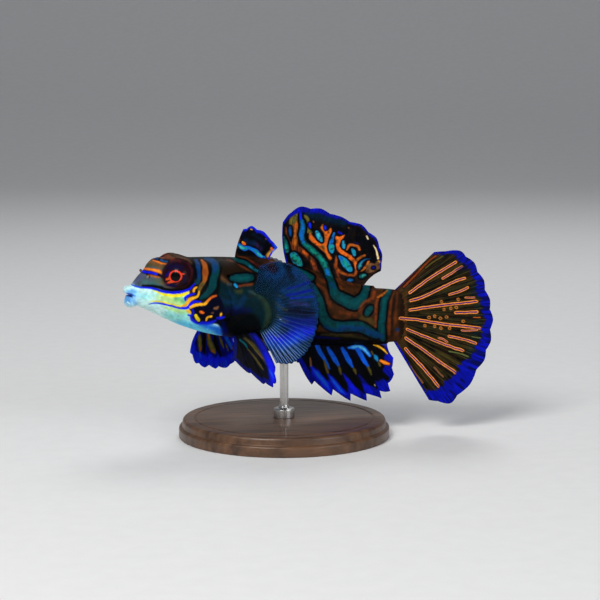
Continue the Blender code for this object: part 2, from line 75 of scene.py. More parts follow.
LEFT, RIGHT = -1, 1
Knots = tuple[tuple[float, float], ...]
Point = tuple[float, float, float]
Spread = tuple[tuple[float, float], ...]


class Tint(Enum):
    """The paints, as display red, green and blue from 0 to 255."""

    BLACK = (2, 3, 6)
    INK = (3, 5, 26)
    UMBER = (24, 15, 8)
    BROWN = (60, 33, 14)
    TAN = (118, 78, 48)
    RUST = (124, 54, 22)
    OCHRE = (176, 90, 26)
    ORANGE = (234, 104, 30)
    PEACH = (255, 152, 56)
    AMBER = (246, 174, 36)
    YELLOW = (250, 232, 40)
    LIME = (184, 224, 130)
    CREAM = (246, 224, 176)
    OLIVE = (80, 72, 30)
    MOSS = (92, 100, 52)
    SLATE = (72, 92, 104)
    LILAC = (86, 88, 128)
    SHELL = (204, 246, 242)
    ICE = (160, 216, 248)
    HAZE = (84, 154, 226)
    SKY = (104, 214, 252)
    AZURE = (14, 92, 226)
    ROYAL = (14, 24, 234)
    BLUE = (5, 14, 150)
    NAVY = (5, 10, 84)
    DUSK = (8, 52, 104)
    LAGOON = (24, 132, 190)
    AQUA = (66, 196, 188)
    SEA = (20, 146, 122)
    TEAL = (4, 72, 76)
    DEEP = (3, 54, 60)
    PINE = (3, 30, 38)
    MAROON = (30, 8, 18)
    WINE = (96, 26, 34)
    RED = (226, 50, 30)
    PLUM = (70, 48, 120)
    PALE = (150, 178, 250)
    KHAKI = (108, 98, 38)
    JADE = (16, 140, 124)
    COBALT = (14, 96, 206)
    NIGHT = (2, 30, 52)
    VIOLET = (50, 14, 110)

    @property
    def shade(self) -> np.ndarray:
        """The paint as display values from 0 to 1."""
        return np.array(self.value) / 255.0


def unit(vector: np.ndarray | Point) -> np.ndarray:
    """The vector or vectors at length one."""
    vector = np.asarray(vector, float)
    return vector / np.linalg.norm(vector, axis=-1, keepdims=True)


def ease(share: np.ndarray) -> np.ndarray:
    """A share from 0 to 1 with a soft start and end."""
    share = np.clip(share, 0.0, 1.0)
    return share * share * (3 - 2 * share)


def through(knots: Knots | np.ndarray, at: np.ndarray | float) -> np.ndarray:
    """A smooth curve through knots that never overshoots them.

    Args:
        knots: Pairs of station and value.
        at: The stations wanted.

    Returns:
        The curve's values there.
    """
    stations, values = np.array(knots, float).T
    at = np.asarray(at, float)
    run = np.diff(stations)
    slope = np.diff(values) / run
    before, after = slope[:-1], slope[1:]
    near, far = 2 * run[1:] + run[:-1], run[1:] + 2 * run[:-1]
    same_way = before * after > 0
    safe_before, safe_after = np.where(same_way, before, 1.0), np.where(same_way, after, 1.0)
    tangent = np.zeros(len(stations))
    tangent[1:-1] = np.where(same_way, (near + far) / (near / safe_before + far / safe_after), 0.0)
    tangent[0], tangent[-1] = slope[0], slope[-1]
    i = np.clip(np.searchsorted(stations, at) - 1, 0, len(run) - 1)
    t = np.clip((at - stations[i]) / run[i], 0.0, 1.0)
    return (
        values[i] * (2 * t**3 - 3 * t**2 + 1)
        + tangent[i] * run[i] * (t**3 - 2 * t**2 + t)
        + values[i + 1] * (3 * t**2 - 2 * t**3)
        + tangent[i + 1] * run[i] * (t**3 - t**2)
    )


def spaced(values: tuple[float, ...], share: np.ndarray) -> np.ndarray:
    """A smooth value that passes through evenly spaced knots as share goes from 0 to 1."""
    return through(np.column_stack((np.linspace(0, 1, len(values)), values)), share)


def blend_union(a: np.ndarray, b: np.ndarray, reach: float) -> np.ndarray:
    """The nearer of two distances, with a fillet of about that reach where they meet."""
    share = np.clip(0.5 + 0.5 * (b - a) / reach, 0.0, 1.0)
    return b + (a - b) * share - reach * share * (1 - share)


def mirrored(point: Point, side: int) -> np.ndarray:
    """A left-right pair's point on one flank."""
    return np.array((point[0], side * point[1], point[2]), float)


@dataclass(frozen=True)
class Mottle:
    """Smooth, repeatable noise in space, from 0 to 1."""

    seed: int
    size: float
    octaves: int = 2

    def __call__(self, places: np.ndarray) -> np.ndarray:
        """The noise at each place.

        Args:
            places: Points in millimetres.

        Returns:
            A value for each.
        """
        lattice = np.random.default_rng(self.seed).random((32, 32, 32))
        total, weight = np.zeros(len(places)), 0.0
        for octave in range(self.octaves):
            share = 0.5**octave
            cell = places / (self.size * share) + 7.3 * octave
            base = np.floor(cell).astype(int)
            part = ease(cell - base)
            for corner in product((0, 1), repeat=3):
                near = np.prod(np.where(corner, part, 1 - part), axis=1)
                i, j, k = ((base + corner) % 32).T
                total += share * near * lattice[i, j, k]
            weight += share
        return total / weight


def aimed(right: np.ndarray, up: np.ndarray, back: np.ndarray, spot: np.ndarray) -> Matrix:
    """The placing of a camera or lamp at a spot, its back turned to what it looks at."""
    rows = [(right[i], up[i], back[i], spot[i]) for i in range(3)]
    return Matrix([*rows, (0.0, 0.0, 0.0, 1.0)])


@dataclass(frozen=True)
class Viewpoint:
    """Where the photograph is taken from, and the chart that it gives."""

    azimuth: float = math.radians(-10.0)
    elevation: float = math.radians(8.0)
    distance: float = 300.0
    lens: float = 112.1
    target: Point = (2.6, 0.0, 22.0)

    def axes(self) -> tuple[np.ndarray, np.ndarray, np.ndarray]:
        """The picture's right, its up, and the way back to the camera.

        Returns:
            Three unit vectors.
        """
        turn, tilt = self.azimuth, self.elevation
        right = np.array((math.cos(turn), math.sin(turn), 0.0))
        back = np.array((math.sin(turn) * math.cos(tilt), -math.cos(turn) * math.cos(tilt), math.sin(tilt)))
        return right, np.cross(back, right), back

    def chart(self, places: np.ndarray) -> np.ndarray:
        """Chart places of points of the posed fish.

        Args:
            places: Posed points.

        Returns:
            Their chart places, one to a row.
        """
        right, up, back = self.axes()
        offset = places - np.array(self.target)
        scale = self.distance / (self.distance - offset @ back)
        return np.column_stack((
            self.target[0] + scale * (offset @ right), self.target[2] + scale * (offset @ up)))

    def make_camera(self) -> bpy.types.Object:
        """Puts the camera there and makes it the scene's.

        Returns:
            The camera.
        """
        right, up, back = self.axes()
        data = bpy.data.cameras.new("camera")
        data.lens = self.lens
        data.sensor_width = 36.0
        data.clip_start, data.clip_end = 0.01, 10.0
        camera = bpy.data.objects.new("camera", data)
        bpy.context.scene.collection.objects.link(camera)
        spot = (np.array(self.target) + self.distance * back) * MM
        camera.matrix_world = aimed(right, up, back, spot)
        bpy.context.scene.camera = camera
        return camera


VIEWPOINT = Viewpoint()


@dataclass(frozen=True)
class Pose:
    """How the straight fish is bent: a turned head and a tail swung to the left."""

    tail_swing: float = 2.2
    swing_start: float = -2.0
    swing_end: float = 34.5
    head_turn: float = math.radians(5)
    neck: float = -9.0
    neck_start: float = -4.0
    neck_end: float = -14.0

    def swing(self, x: np.ndarray) -> np.ndarray:
        """How far the tail has swung at a station."""
        share = np.clip((x - self.swing_start) / (self.swing_end - self.swing_start), 0.0, 1.0)
        return -self.tail_swing * share**2

    def turn(self, x: np.ndarray) -> np.ndarray:
        """How far the head has turned at a station."""
        return self.head_turn * ease((self.neck_start - x) / (self.neck_start - self.neck_end))

    def posed(self, points: np.ndarray | Point) -> np.ndarray:
        """Points of the straight fish, moved to where the pose carries them.

        Args:
            points: Points of the straight fish.

        Returns:
            The same points of the posed fish.
        """
        x, y, z = np.moveaxis(np.asarray(points, float), -1, 0)
        turn = self.turn(x)
        along = self.neck + (x - self.neck) * np.cos(turn) - y * np.sin(turn)
        aside = (x - self.neck) * np.sin(turn) + y * np.cos(turn) + self.swing(x)
        return np.stack((along, aside, z), axis=-1)

    def straight(self, points: np.ndarray | Point) -> np.ndarray:
        """Points of the posed fish, moved back to the straight one.

        Args:
            points: Points of the posed fish.

        Returns:
            The same points of the straight fish.
        """
        along, aside, z = np.moveaxis(np.asarray(points, float), -1, 0)
        x = along
        for _ in range(3):
            turn = self.turn(x)
            y = aside - self.swing(x)
            x = self.neck + (along - self.neck) * np.cos(turn) + y * np.sin(turn)
        return np.stack((x, y * np.cos(turn) - (along - self.neck) * np.sin(turn), z), axis=-1)

    def flank(self, points: np.ndarray) -> np.ndarray:
        """Posed points with those of the right flank moved to their twins on the left."""
        x, y, z = self.straight(points).T
        return self.posed(np.column_stack((x, -np.abs(y), z)))


POSE = Pose()


@dataclass(frozen=True)
class Lip:
    """A rounded cord that runs round the snout."""

    level: float
    front: float
    radius: float


@dataclass(frozen=True)
class Flesh:
    """The body's one rounded form, as a distance field."""

    snout_tip: float = -25.3
    stalk_end: float = 19.7
    back: Knots = (
        (-25.6, 24.5), (-24.8, 25.1), (-23.4, 26.75), (-22.6, 27.55), (-21.9, 28.65), (-21.1, 29.3),
        (-20.0, 29.5), (-18.0, 29.4), (-12.0, 29.3), (-6.5, 29.0), (0.0, 28.0), (6.0, 26.0),
        (13.0, 23.9), (18.6, 23.3), (19.7, 22.4))
    belly: Knots = (
        (-25.6, 23.1), (-24.8, 22.3), (-23.6, 21.85), (-17.0, 18.65), (-12.5, 17.15), (-7.0, 16.1),
        (0.0, 15.3), (9.0, 14.8), (18.6, 14.9), (19.7, 15.6))
    half_width: Knots = (
        (-25.6, 1.1), (-24.3, 2.1), (-22.3, 3.0), (-19.0, 4.1), (-15.0, 5.4), (-11.0, 6.1),
        (-6.0, 6.0), (0.0, 5.3), (6.0, 4.2), (12.0, 2.8), (16.0, 1.7), (18.4, 0.7), (19.7, 0.1))
    widest_share: Knots = ((-25.0, 0.50), (-16.0, 0.40), (-6.0, 0.44), (6.0, 0.50), (18.6, 0.50))
    middle: Knots = ((-20.0, 23.5), (-13.0, 22.6), (-6.0, 22.2), (0.0, 21.6), (9.0, 19.8), (19.7, 19.1))
    back_roundness: float = 2.05
    belly_roundness: float = 2.35
    cover_middle: tuple[float, float] = (-13.4, 22.2)
    cover_reach: tuple[float, float] = (4.2, 4.6)
    cover_rise: float = 0.4
    cover_edge: float = 0.24
    mouth_level: float = 23.7
    mouth_corner: float = -23.3
    lip_width: float = 2.0
    lip_reach: float = 1.8
    lips: tuple[Lip, ...] = (Lip(24.5, -25.3, 0.58), Lip(22.55, -25.0, 0.78))
    lip_blend: float = 0.4
    slit_half: float = 0.2
    slit_floor: float = -24.75
    slit_depth: float = 1.2
    slit_share: float = 0.8
    eye: Point = (-17.6, 3.1, 26.9)
    eye_aim: Point = (-0.27, 0.95, 0.12)
    eye_radius: float = 2.3
    orbit_radius: float = 2.95
    orbit_back: float = 0.85
    orbit_blend: float = 0.9
    rim_out: float = 0.85
    rim_radius: float = 2.52
    rim_thick: float = 0.25
    rim_blend: float = 0.35
    lobe: Point = (-5.6, 5.3, 21.0)
    lobe_back: Point = (0.94, 0.34, 0.0)
    lobe_up: Point = (0.0, 0.1, 1.0)
    lobe_radius: float = 3.0
    lobe_thick: float = 1.0
    back_keels: Knots = ((-7.6, -1.6), (0.6, 14.6))
    belly_keel: tuple[float, float] = (3.0, 16.8)
    keel_rise: float = 0.35
    keel_drop: float = 0.3
    keel_half: float = 0.12
    blend: float = 0.5
    farthest: float = 11.0
    casts: int = 46
    halvings: int = 12

    def trunk(self, points: np.ndarray) -> np.ndarray:
        """About how far points of the straight fish lie outside its plain body.

        Args:
            points: Points of the straight fish.

        Returns:
            A distance for each, less than 0 inside.
        """
        x, y, z = points.T
        top, bottom, wide = through(self.back, x), through(self.belly, x), through(self.half_width, x)
        level = bottom + (top - bottom) * through(self.widest_share, x)
        above = z > level
        high = np.where(above, top - level, level - bottom)
        power = np.where(above, self.back_roundness, self.belly_roundness)
        a = np.abs(y) / wide + 1e-9
        b = np.abs(z - level) / high + 1e-9
        rho = (a**power + b**power) ** (1 / power)
        steep = rho ** (1 - power) * np.hypot(a ** (power - 1) / wide, b ** (power - 1) / high)
        return np.maximum((rho - 1) / steep, self.snout_tip - x)

    def gill_cover(self, points: np.ndarray) -> np.ndarray:
        """How far the gill cover stands out: a shallow swell on each cheek with a clear hind edge.

        Args:
            points: Points of the straight fish.

        Returns:
            How far the skin is lifted at each.
        """
        x, y, z = points.T
        across = (x - self.cover_middle[0]) / self.cover_reach[0]
        up = (z - self.cover_middle[1]) / self.cover_reach[1]
        swell = ease((1 - np.hypot(across, up)) / np.where(across > 0, self.cover_edge, 1.0))
        side = np.clip(np.abs(y) / 2.0 - 0.5, 0.0, 1.0)
        return self.cover_rise * swell * side * np.clip(1 + across, 0.0, 1.0)

    def lip(self, points: np.ndarray, lip: Lip) -> np.ndarray:
        """Distance outside one lip, which thins towards the mouth's corners.

        Args:
            points: Points of the straight fish.
            lip: Which lip.

        Returns:
            A distance for each.
        """
        turn = np.linspace(-0.5 * PI, 0.5 * PI, 25)
        centre = np.column_stack((
            lip.front + self.lip_reach * (1 - np.cos(turn)),
            self.lip_width * np.sin(turn),
            lip.level + (self.mouth_level - lip.level) * np.sin(turn) ** 4,
        ))
        radius = lip.radius * (1 - 0.45 * np.sin(turn) ** 4)
        away = np.linalg.norm(points[:, None, :] - centre[None], axis=2) - radius[None]
        return away.min(axis=1)

    def rim(self, points: np.ndarray, side: int) -> np.ndarray:
        """Distance outside the ring of skin round an eye.

        Args:
            points: Points of the straight fish.
            side: LEFT or RIGHT.

        Returns:
            A distance for each.
        """
        aim = unit(mirrored(self.eye_aim, side))
        offset = points - mirrored(self.eye, side) - self.rim_out * aim
        along = offset @ aim
        out = np.linalg.norm(offset - along[:, None] * aim, axis=1)
        return np.hypot(out - self.rim_radius, along) - self.rim_thick

    def fin_lobe(self, points: np.ndarray, side: int) -> np.ndarray:
        """About how far points lie outside the fleshy lobe that carries a pectoral fin's rays.

        Args:
            points: Points of the posed fish.
            side: LEFT or RIGHT.

        Returns:
            A distance for each.
        """
        back, up = unit(mirrored(self.lobe_back, side)), unit(mirrored(self.lobe_up, side))
        offset = points - mirrored(self.lobe, side)
        across = np.hypot(offset @ back, offset @ up) / self.lobe_radius
        out = (offset @ unit(np.cross(back, up))) / self.lobe_thick
        size = np.hypot(across, out) + 1e-9
        return (size - 1) * size / np.hypot(across / self.lobe_radius, out / self.lobe_thick).clip(1e-9)

    def keel(self, points: np.ndarray) -> np.ndarray:
        """Distance outside the low, thin foot that each fin on the midline rises from.

        Args:
            points: Points of the straight fish.

        Returns:
            A distance for each.
        """
        x, y, z = points.T
        back, belly = through(self.back, x), through(self.belly, x)
        on_back = np.maximum(z - back - self.keel_rise, through(self.middle, x) - z)
        gap = np.min([np.abs(x - 0.5 * (a + b)) - 0.5 * (b - a) for a, b in self.back_keels], axis=0)
        first, last = self.belly_keel
        beyond = np.abs(x - 0.5 * (first + last)) - 0.5 * (last - first)
        under = np.maximum(belly - self.keel_drop - z, beyond)
        ridge = np.minimum(np.maximum(on_back, gap), np.maximum(under, z - belly - 2.0))
        return np.maximum(ridge, np.abs(y) - self.keel_half)

    def field(self, points: np.ndarray) -> np.ndarray:
        """About how far points of the posed fish lie outside the whole body.

        Args:
            points: Points of the posed fish.

        Returns:
            A distance for each, less than 0 inside.
        """
        field = np.minimum(self.fin_lobe(points, LEFT), self.fin_lobe(points, RIGHT))
        points = POSE.straight(points)
        field = blend_union(self.trunk(points) - self.gill_cover(points), field, self.blend)
        field = blend_union(field, self.keel(points), self.blend)
        face = points[:, 0] < self.eye[0] + 2 * self.orbit_radius
        near, value = points[face], field[face]
        for side in (LEFT, RIGHT):
            middle = mirrored(self.eye, side) - self.orbit_back * unit(mirrored(self.eye_aim, side))
            socket = np.linalg.norm(near - middle, axis=1) - self.orbit_radius
            value = blend_union(value, socket, self.orbit_blend)
            value = blend_union(value, self.rim(near, side), self.rim_blend)
        for lip in self.lips:
            value = blend_union(value, self.lip(near, lip), self.lip_blend)
        x, y, z = near.T
        slit = np.maximum(np.abs(z - self.mouth_level) - self.slit_half, x - self.slit_floor)
        across = np.hypot(y / self.lip_width, (x - self.mouth_corner) / self.slit_depth)
        field[face] = np.maximum(value, -np.maximum(slit, self.slit_share - across))
        return field

    def axis(self, along: float) -> np.ndarray:
        """The posed body's middle where its section at that X lies."""
        x = float(POSE.straight((along, float(POSE.posed((along, 0.0, 0.0))[1]), 0.0))[0])
        return np.array((along, float(POSE.posed((x, 0.0, 0.0))[1]), float(through(self.middle, x))))

    def surface(self, origins: np.ndarray, ways: np.ndarray) -> np.ndarray:
        """Where rays leave the body.

        Args:
            origins: Points inside the body.
            ways: Each ray's direction.

        Returns:
            The last point of each ray that is on the body.
        """
        shape = origins.shape
        origins, ways = origins.reshape(-1, 3), ways.reshape(-1, 3)
        reaches = np.linspace(0.05, self.farthest, self.casts)
        outside = np.array([self.field(origins + r * ways) > 0 for r in reaches])
        last_inside = len(reaches) - 1 - np.argmax(~outside[::-1], axis=0)
        low = reaches[last_inside]
        high = reaches[np.minimum(last_inside + 1, len(reaches) - 1)]
        for _ in range(self.halvings):
            middle = 0.5 * (low + high)
            out = self.field(origins + middle[:, None] * ways) > 0
            low, high = np.where(out, low, middle), np.where(out, middle, high)
        return (origins + high[:, None] * ways).reshape(shape)


FLESH = Flesh()


@dataclass(frozen=True)
class Mark:
    """One touch of paint on the chart.

    A line has a width, or one for each of its points; a patch has none and is filled. A heart is the
    paint at the mark's middle, and an edge is the width of the black line round it.
    """

    tint: Tint
    points: Spread
    width: float | tuple[float, ...] = 0.0
    soft: float = 0.14
    edge: float = 0.0
    heart: Tint | None = None
    strength: float = 1.0

    @property
    def filled(self) -> bool:
        """Whether the mark is a patch."""
        return self.width == 0.0

    def curve(self) -> tuple[np.ndarray, np.ndarray]:
        """The mark's smooth curve through its points, and its half width at each place on it.

        Returns:
            The curve's points and their half widths.
        """
        knots = np.array(self.points, float)
        widths = np.broadcast_to(np.array(self.width, float), len(knots))
        if len(knots) == 1:
            return np.repeat(knots, 2, axis=0), np.repeat(0.5 * widths, 2)
        if self.filled:
            knots = np.concatenate((knots[-1:], knots, knots[:2]))
            widths = np.zeros(len(knots))
        else:
            knots = np.concatenate((2 * knots[:1] - knots[1:2], knots, 2 * knots[-1:] - knots[-2:-1]))
            widths = np.concatenate((widths[:1], widths, widths[-1:]))
        t = np.linspace(0, 1, 6)[:-1, None]
        line, half = [], []
        for i in range(1, len(knots) - 2):
            a, b, c, d = knots[i - 1:i + 3]
            bend = 2 * a - 5 * b + 4 * c - d
            line.append(b + 0.5 * t * (c - a + t * (bend + t * (3 * b - a - 3 * c + d))))
            half.append(0.5 * (widths[i] + ease(t[:, 0]) * (widths[i + 1] - widths[i])))
        line.append(knots[-2:-1])
        half.append(0.5 * widths[-2:-1])
        return np.concatenate(line), np.concatenate(half)

    def gap(self, places: np.ndarray) -> np.ndarray:
        """How far chart places lie outside the mark; less than nothing inside it.

        Args:
            places: Chart places, one to a row.

        Returns:
            A distance for each.
        """
        line, half = self.curve()
        start, step = line[:-1], np.diff(line, axis=0)
        offset = places[:, None] - start[None]
        share = np.clip((offset * step).sum(axis=2) / ((step**2).sum(axis=1) + 1e-9), 0.0, 1.0)
        away = np.linalg.norm(offset - share[..., None] * step, axis=2)
        gap = (away - half[:-1] - share * np.diff(half)).min(axis=1)
        if self.filled:
            x, y = places[:, 0, None], places[:, 1, None]
            straddled = (line[:-1, 1] > y) != (line[1:, 1] > y)
            rise = np.where(straddled, step[:, 1], 1.0)
            crossed = straddled & (x < start[:, 0] + (y - start[:, 1]) / rise * step[:, 0])
            gap = np.where(crossed.sum(axis=1) % 2 == 1, -gap, gap)
        return gap


@dataclass
class Painter:
    """Paint on a piece's vertices, one touch over another."""

    places: np.ndarray
    chart: np.ndarray
    shade: np.ndarray
    waver_size: ClassVar[float] = 0.8

    @classmethod
    def start(cls, places: np.ndarray, seen: np.ndarray, ground: Tint, waver: float = 0.07) -> Painter:
        """A first coat.

        Args:
            places: The vertices, which the mottling follows.
            seen: Where they are read on the chart, as posed points.
            ground: The first coat's paint.
            waver: How far the marks' edges wander.

        Returns:
            The painter, ready for its marks.
        """
        wander = [Mottle(seed, cls.waver_size)(seen) - 0.5 for seed in (11, 12)]
        chart = VIEWPOINT.chart(seen) + 2 * waver * np.column_stack(wander)
        return cls(places, chart, np.tile(ground.shade, (len(places), 1)))

    def cover(self, tint: Tint, share: np.ndarray | float) -> None:
        """Lays a paint over everything, as strongly as share says at each vertex."""
        share = np.broadcast_to(share, len(self.shade))[:, None]
        self.shade = self.shade + np.clip(share, 0.0, 1.0) * (tint.shade - self.shade)

    def mottled(self, tint: Tint, mottle: Mottle, low: float, high: float, strength: float = 1.0) -> None:
        """Lays a paint where the mottle rises from low to high."""
        self.cover(tint, strength * ease((mottle(self.places) - low) / (high - low)))

    def lay(self, marks: tuple[Mark, ...]) -> None:
        """Lays each mark over the last.

        Args:
            marks: The marks, the first laid first.
        """
        for mark in marks:
            reach = 0.5 * float(np.max(mark.width)) + mark.edge + mark.soft
            corners = np.array(mark.points)
            low, high = corners.min(axis=0) - reach, corners.max(axis=0) + reach
            near = np.flatnonzero(np.all((self.chart > low) & (self.chart < high), axis=1))
            if len(near) == 0:
                continue
            gap = mark.gap(self.chart[near])
            shade = self.shade[near]
            if mark.edge:
                dark = mark.strength * ease(0.5 - (gap - mark.edge) / mark.soft)[:, None]
                shade = shade + dark * (Tint.BLACK.shade - shade)
            paint = np.tile(mark.tint.shade, (len(near), 1))
            if mark.heart:
                depth = ease(-gap / (0.5 * max(float(np.max(mark.width)), 0.8)))[:, None]
                paint = paint + depth * (mark.heart.shade - paint)
            share = mark.strength * ease(0.5 - gap / mark.soft)[:, None]
            self.shade[near] = shade + share * (paint - shade)

    def vary(self, size: float, strength: float) -> None:
        """Makes the paint a little lighter here and darker there."""
        change = 1 + strength * (2 * Mottle(31, size)(self.places) - 1)
        self.shade = np.clip(self.shade * change[:, None], 0.0, 1.0)

    def put_on(self, mesh: bpy.types.Mesh, solid: np.ndarray | None = None) -> None:
        """Stores the paint on the mesh, and how solid it is where it lets light through.

        Args:
            mesh: The mesh, with the painter's vertices.
            solid: How solid each vertex is, from 0 to 1.
        """
        shade = np.clip(self.shade, 0.0, 1.0)
        light = np.where(shade <= 0.04045, shade / 12.92, ((shade + 0.055) / 1.055) ** 2.4)
        coat = mesh.color_attributes.new("Coat", "FLOAT_COLOR", "POINT")
        coat.data.foreach_set("color", np.column_stack((light, np.ones(len(light)))).ravel())
        if solid is not None:
            layer = mesh.attributes.new("Solid", "FLOAT", "POINT")
            layer.data.foreach_set("value", np.clip(solid, 0.0, 1.0))


class Wiring:
    """A short hand for a material's nodes."""

    def __init__(self, name: str) -> None:
        """Starts an empty material.

        Args:
            name: The material's name.
        """
        self.material = bpy.data.materials.new(name)
        self.material.use_nodes = True
        self.tree = self.material.node_tree
        self.shader = self.tree.nodes["Principled BSDF"]

    def node(self, kind: str, settings: dict | None = None, **inputs: object) -> bpy.types.Node:
        """Adds a node, with its settings and its inputs, each a value or another node's output.

        Args:
            kind: The node's type, without its first word.
            settings: The node's own settings.
            inputs: Values or outputs by the sockets' names.

        Returns:
            The node.
        """
        made = self.tree.nodes.new(f"ShaderNode{kind}")
        for key, value in (settings or {}).items():
            setattr(made, key, value)
        for key, value in inputs.items():
            self.feed(made, key.replace("_", " "), value)
        return made

    def feed(self, node: bpy.types.Node, socket: str, value: object) -> None:
        """Sets an input to a value, or joins it to an output.

        Args:
            node: The node.
            socket: The input's name.
            value: A value or an output.
        """
        if isinstance(value, bpy.types.NodeSocket):
            self.tree.links.new(value, node.inputs[socket])
        else:
            node.inputs[socket].default_value = value

    def noise(self, size: float, detail: float = 3.0, stretch: Point = (1, 1, 1)) -> bpy.types.NodeSocket:
        """Noise whose grain is about size, drawn out along the axes that stretch names.

        Args:
            size: The grain in millimetres.
            detail: How many finer layers it has.
            stretch: How far it is drawn out along X, Y and Z.

        Returns:
            The noise's output.
        """
        spot = self.node("TexCoord").outputs["Object"]
        scale = tuple(1 / (size * MM * pull) for pull in stretch)
        spot = self.node("Mapping", {}, Vector=spot, Scale=scale).outputs[0]
        return self.node("TexNoise", {}, Vector=spot, Scale=1.0, Detail=detail).outputs["Fac"]

    def spread(self, value: bpy.types.NodeSocket, low: float, high: float) -> bpy.types.NodeSocket:
        """Noise's middle range, spread out between two values.

        Args:
            value: The noise.
            low: The value at its low end.
            high: The value at its high end.

        Returns:
            The output.
        """
        settings = {"clamp": True}
        made = self.node("MapRange", settings, Value=value)
        for socket, number in (("From Min", 0.3), ("From Max", 0.7), ("To Min", low), ("To Max", high)):
            made.inputs[socket].default_value = number
        return made.outputs[0]

    def times(self, colour: bpy.types.NodeSocket, value: bpy.types.NodeSocket) -> bpy.types.NodeSocket:
        """A colour made lighter or darker by a value.

        Args:
            colour: The colour.
            value: What it is multiplied by.

        Returns:
            The output.
        """
        made = self.node("VectorMath", {"operation": "SCALE"})
        self.tree.links.new(colour, made.inputs[0])
        self.tree.links.new(value, made.inputs["Scale"])
        return made.outputs[0]

    def bump(self, height: bpy.types.NodeSocket, depth: float) -> None:
        """Roughens the surface by a height, depth deep."""
        made = self.node("Bump", {}, Height=height, Distance=depth * MM, Strength=1.0)
        self.feed(self.shader, "Normal", made.outputs[0])


@dataclass(frozen=True)
class Finish:
    """How painted skin takes the light: how moist it is and how fine its grain."""

    name: str
    roughness: tuple[float, float] = (0.34, 0.52)
    specular: float = 0.07
    coat: float = 0.0
    coat_roughness: float = 0.2
    grain: float = 0.35
    depth: float = 0.02
    variety: float = 0.1
    lets_light_through: bool = False

    def material(self) -> bpy.types.Material:
        """The material that shows the paint with this finish.

        Returns:
            The material.
        """
        wiring = Wiring(self.name)
        shader = wiring.shader
        paint = wiring.node("Attribute", {"attribute_name": "Coat"}).outputs["Color"]
        fleck = wiring.spread(wiring.noise(1.4 * self.grain, 4.0), 1 - self.variety, 1 + self.variety)
        wiring.feed(shader, "Base Color", wiring.times(paint, fleck))
        grain = wiring.noise(self.grain)
        wiring.feed(shader, "Roughness", wiring.spread(grain, *self.roughness))
        wiring.bump(grain, self.depth)
        shader.inputs["Specular IOR Level"].default_value = self.specular
        shader.inputs["Coat Weight"].default_value = self.coat
        shader.inputs["Coat Roughness"].default_value = self.coat_roughness
        if self.lets_light_through:
            solid = wiring.node("Attribute", {"attribute_name": "Solid"}).outputs["Fac"]
            wiring.feed(shader, "Alpha", solid)
        return wiring.material


@dataclass(frozen=True)
class Fan:
    """A fin's rays, from the first (share 0) to the last (share 1), as a sheet of points."""

    root: tuple[Point, ...]
    angles: tuple[float, ...]
    lengths: tuple[float, ...]
    along: Point = (1.0, 0.0, 0.0)
    across: Point = (0.0, 0.0, 1.0)
    bow: float = 0.0
    curl: float = 0.0
    ripple: float = 0.0
    midline: bool = False

    def length(self, share: np.ndarray) -> np.ndarray:
        """How long the ray at a share of the fan is."""
        return spaced(self.lengths, share)

    def place(self, share: np.ndarray, out: np.ndarray, reach: np.ndarray) -> np.ndarray:
        """Points on the rays.

        Args:
            share: How far round the fan.
            out: How far out along the ray; less than 0 is inside the body.
            reach: The ray's length here, as a share of its full length.

        Returns:
            The points of the posed fish.
        """
        along, across = unit(self.along), unit(self.across)
        normal = unit(np.cross(along, across))
        root = np.stack([spaced(tuple(p[i] for p in self.root), share) for i in range(3)], axis=-1)
        angle = np.radians(spaced(self.angles, share))[..., None]
        length = (self.length(share) * reach)[..., None]
        way = np.cos(angle) * along + np.sin(angle) * across
        aside = -np.sin(angle) * along + np.cos(angle) * across
        out, share = out[..., None], share[..., None]
        beyond = np.maximum(out, 0.0)
        lean = self.curl * beyond**2 * length + self.ripple * beyond * np.sin(3 * PI * share)
        point = root + out * length * way + self.bow * 4 * beyond * (1 - beyond) * aside + lean * normal
        return POSE.posed(point) if self.midline else point


@dataclass(frozen=True)
class FinPaint:
    """How a fin is painted: its ground, its rays, its margin and its marks."""

    ground: Tint
    second: Tint
    margin: Tint
    margin_width: tuple[float, ...]
    front_width: float = 0.01
    hind_width: float = 0.01
    bright: Tint = Tint.ROYAL
    bright_strength: float = 0.5
    root: Tint = Tint.UMBER
    root_width: float = 0.8
    ray: Tint = Tint.NAVY
    ray_strength: tuple[float, ...] = (0.2, 0.2)
    ray_width: float = 0.12
    thread: Tint = Tint.INK
    thread_strength: float = 0.4
    variety: float = 0.12
    ragged: float = 0.3
    streaks: float = 0.3
    speckle: float = 0.0
    inset: float = 0.05
    margin_soft: float = 0.42
    washes: tuple[Mark, ...] = ()
    marks: tuple[Mark, ...] = ()
    over: tuple[Mark, ...] = ()


def line(tint: Tint, width: float | tuple[float, ...], *points: tuple[float, float], **more: object) -> Mark:
    """A line through chart points."""
    return Mark(tint, points, width, **more)


def patch(tint: Tint, *points: tuple[float, float], **more: object) -> Mark:
    """A filled shape with its rim through chart points."""
    return Mark(tint, points, **more)


def teal(width: float | tuple[float, ...], *points: tuple[float, float], **more: object) -> Mark:
    """One of the blue-green shapes with a black edge that the body is known by."""
    settings = {"heart": Tint.TEAL, "edge": 0.34, "soft": 0.16} | more
    return Mark(settings.pop("tint", Tint.DEEP), points, width, **settings)


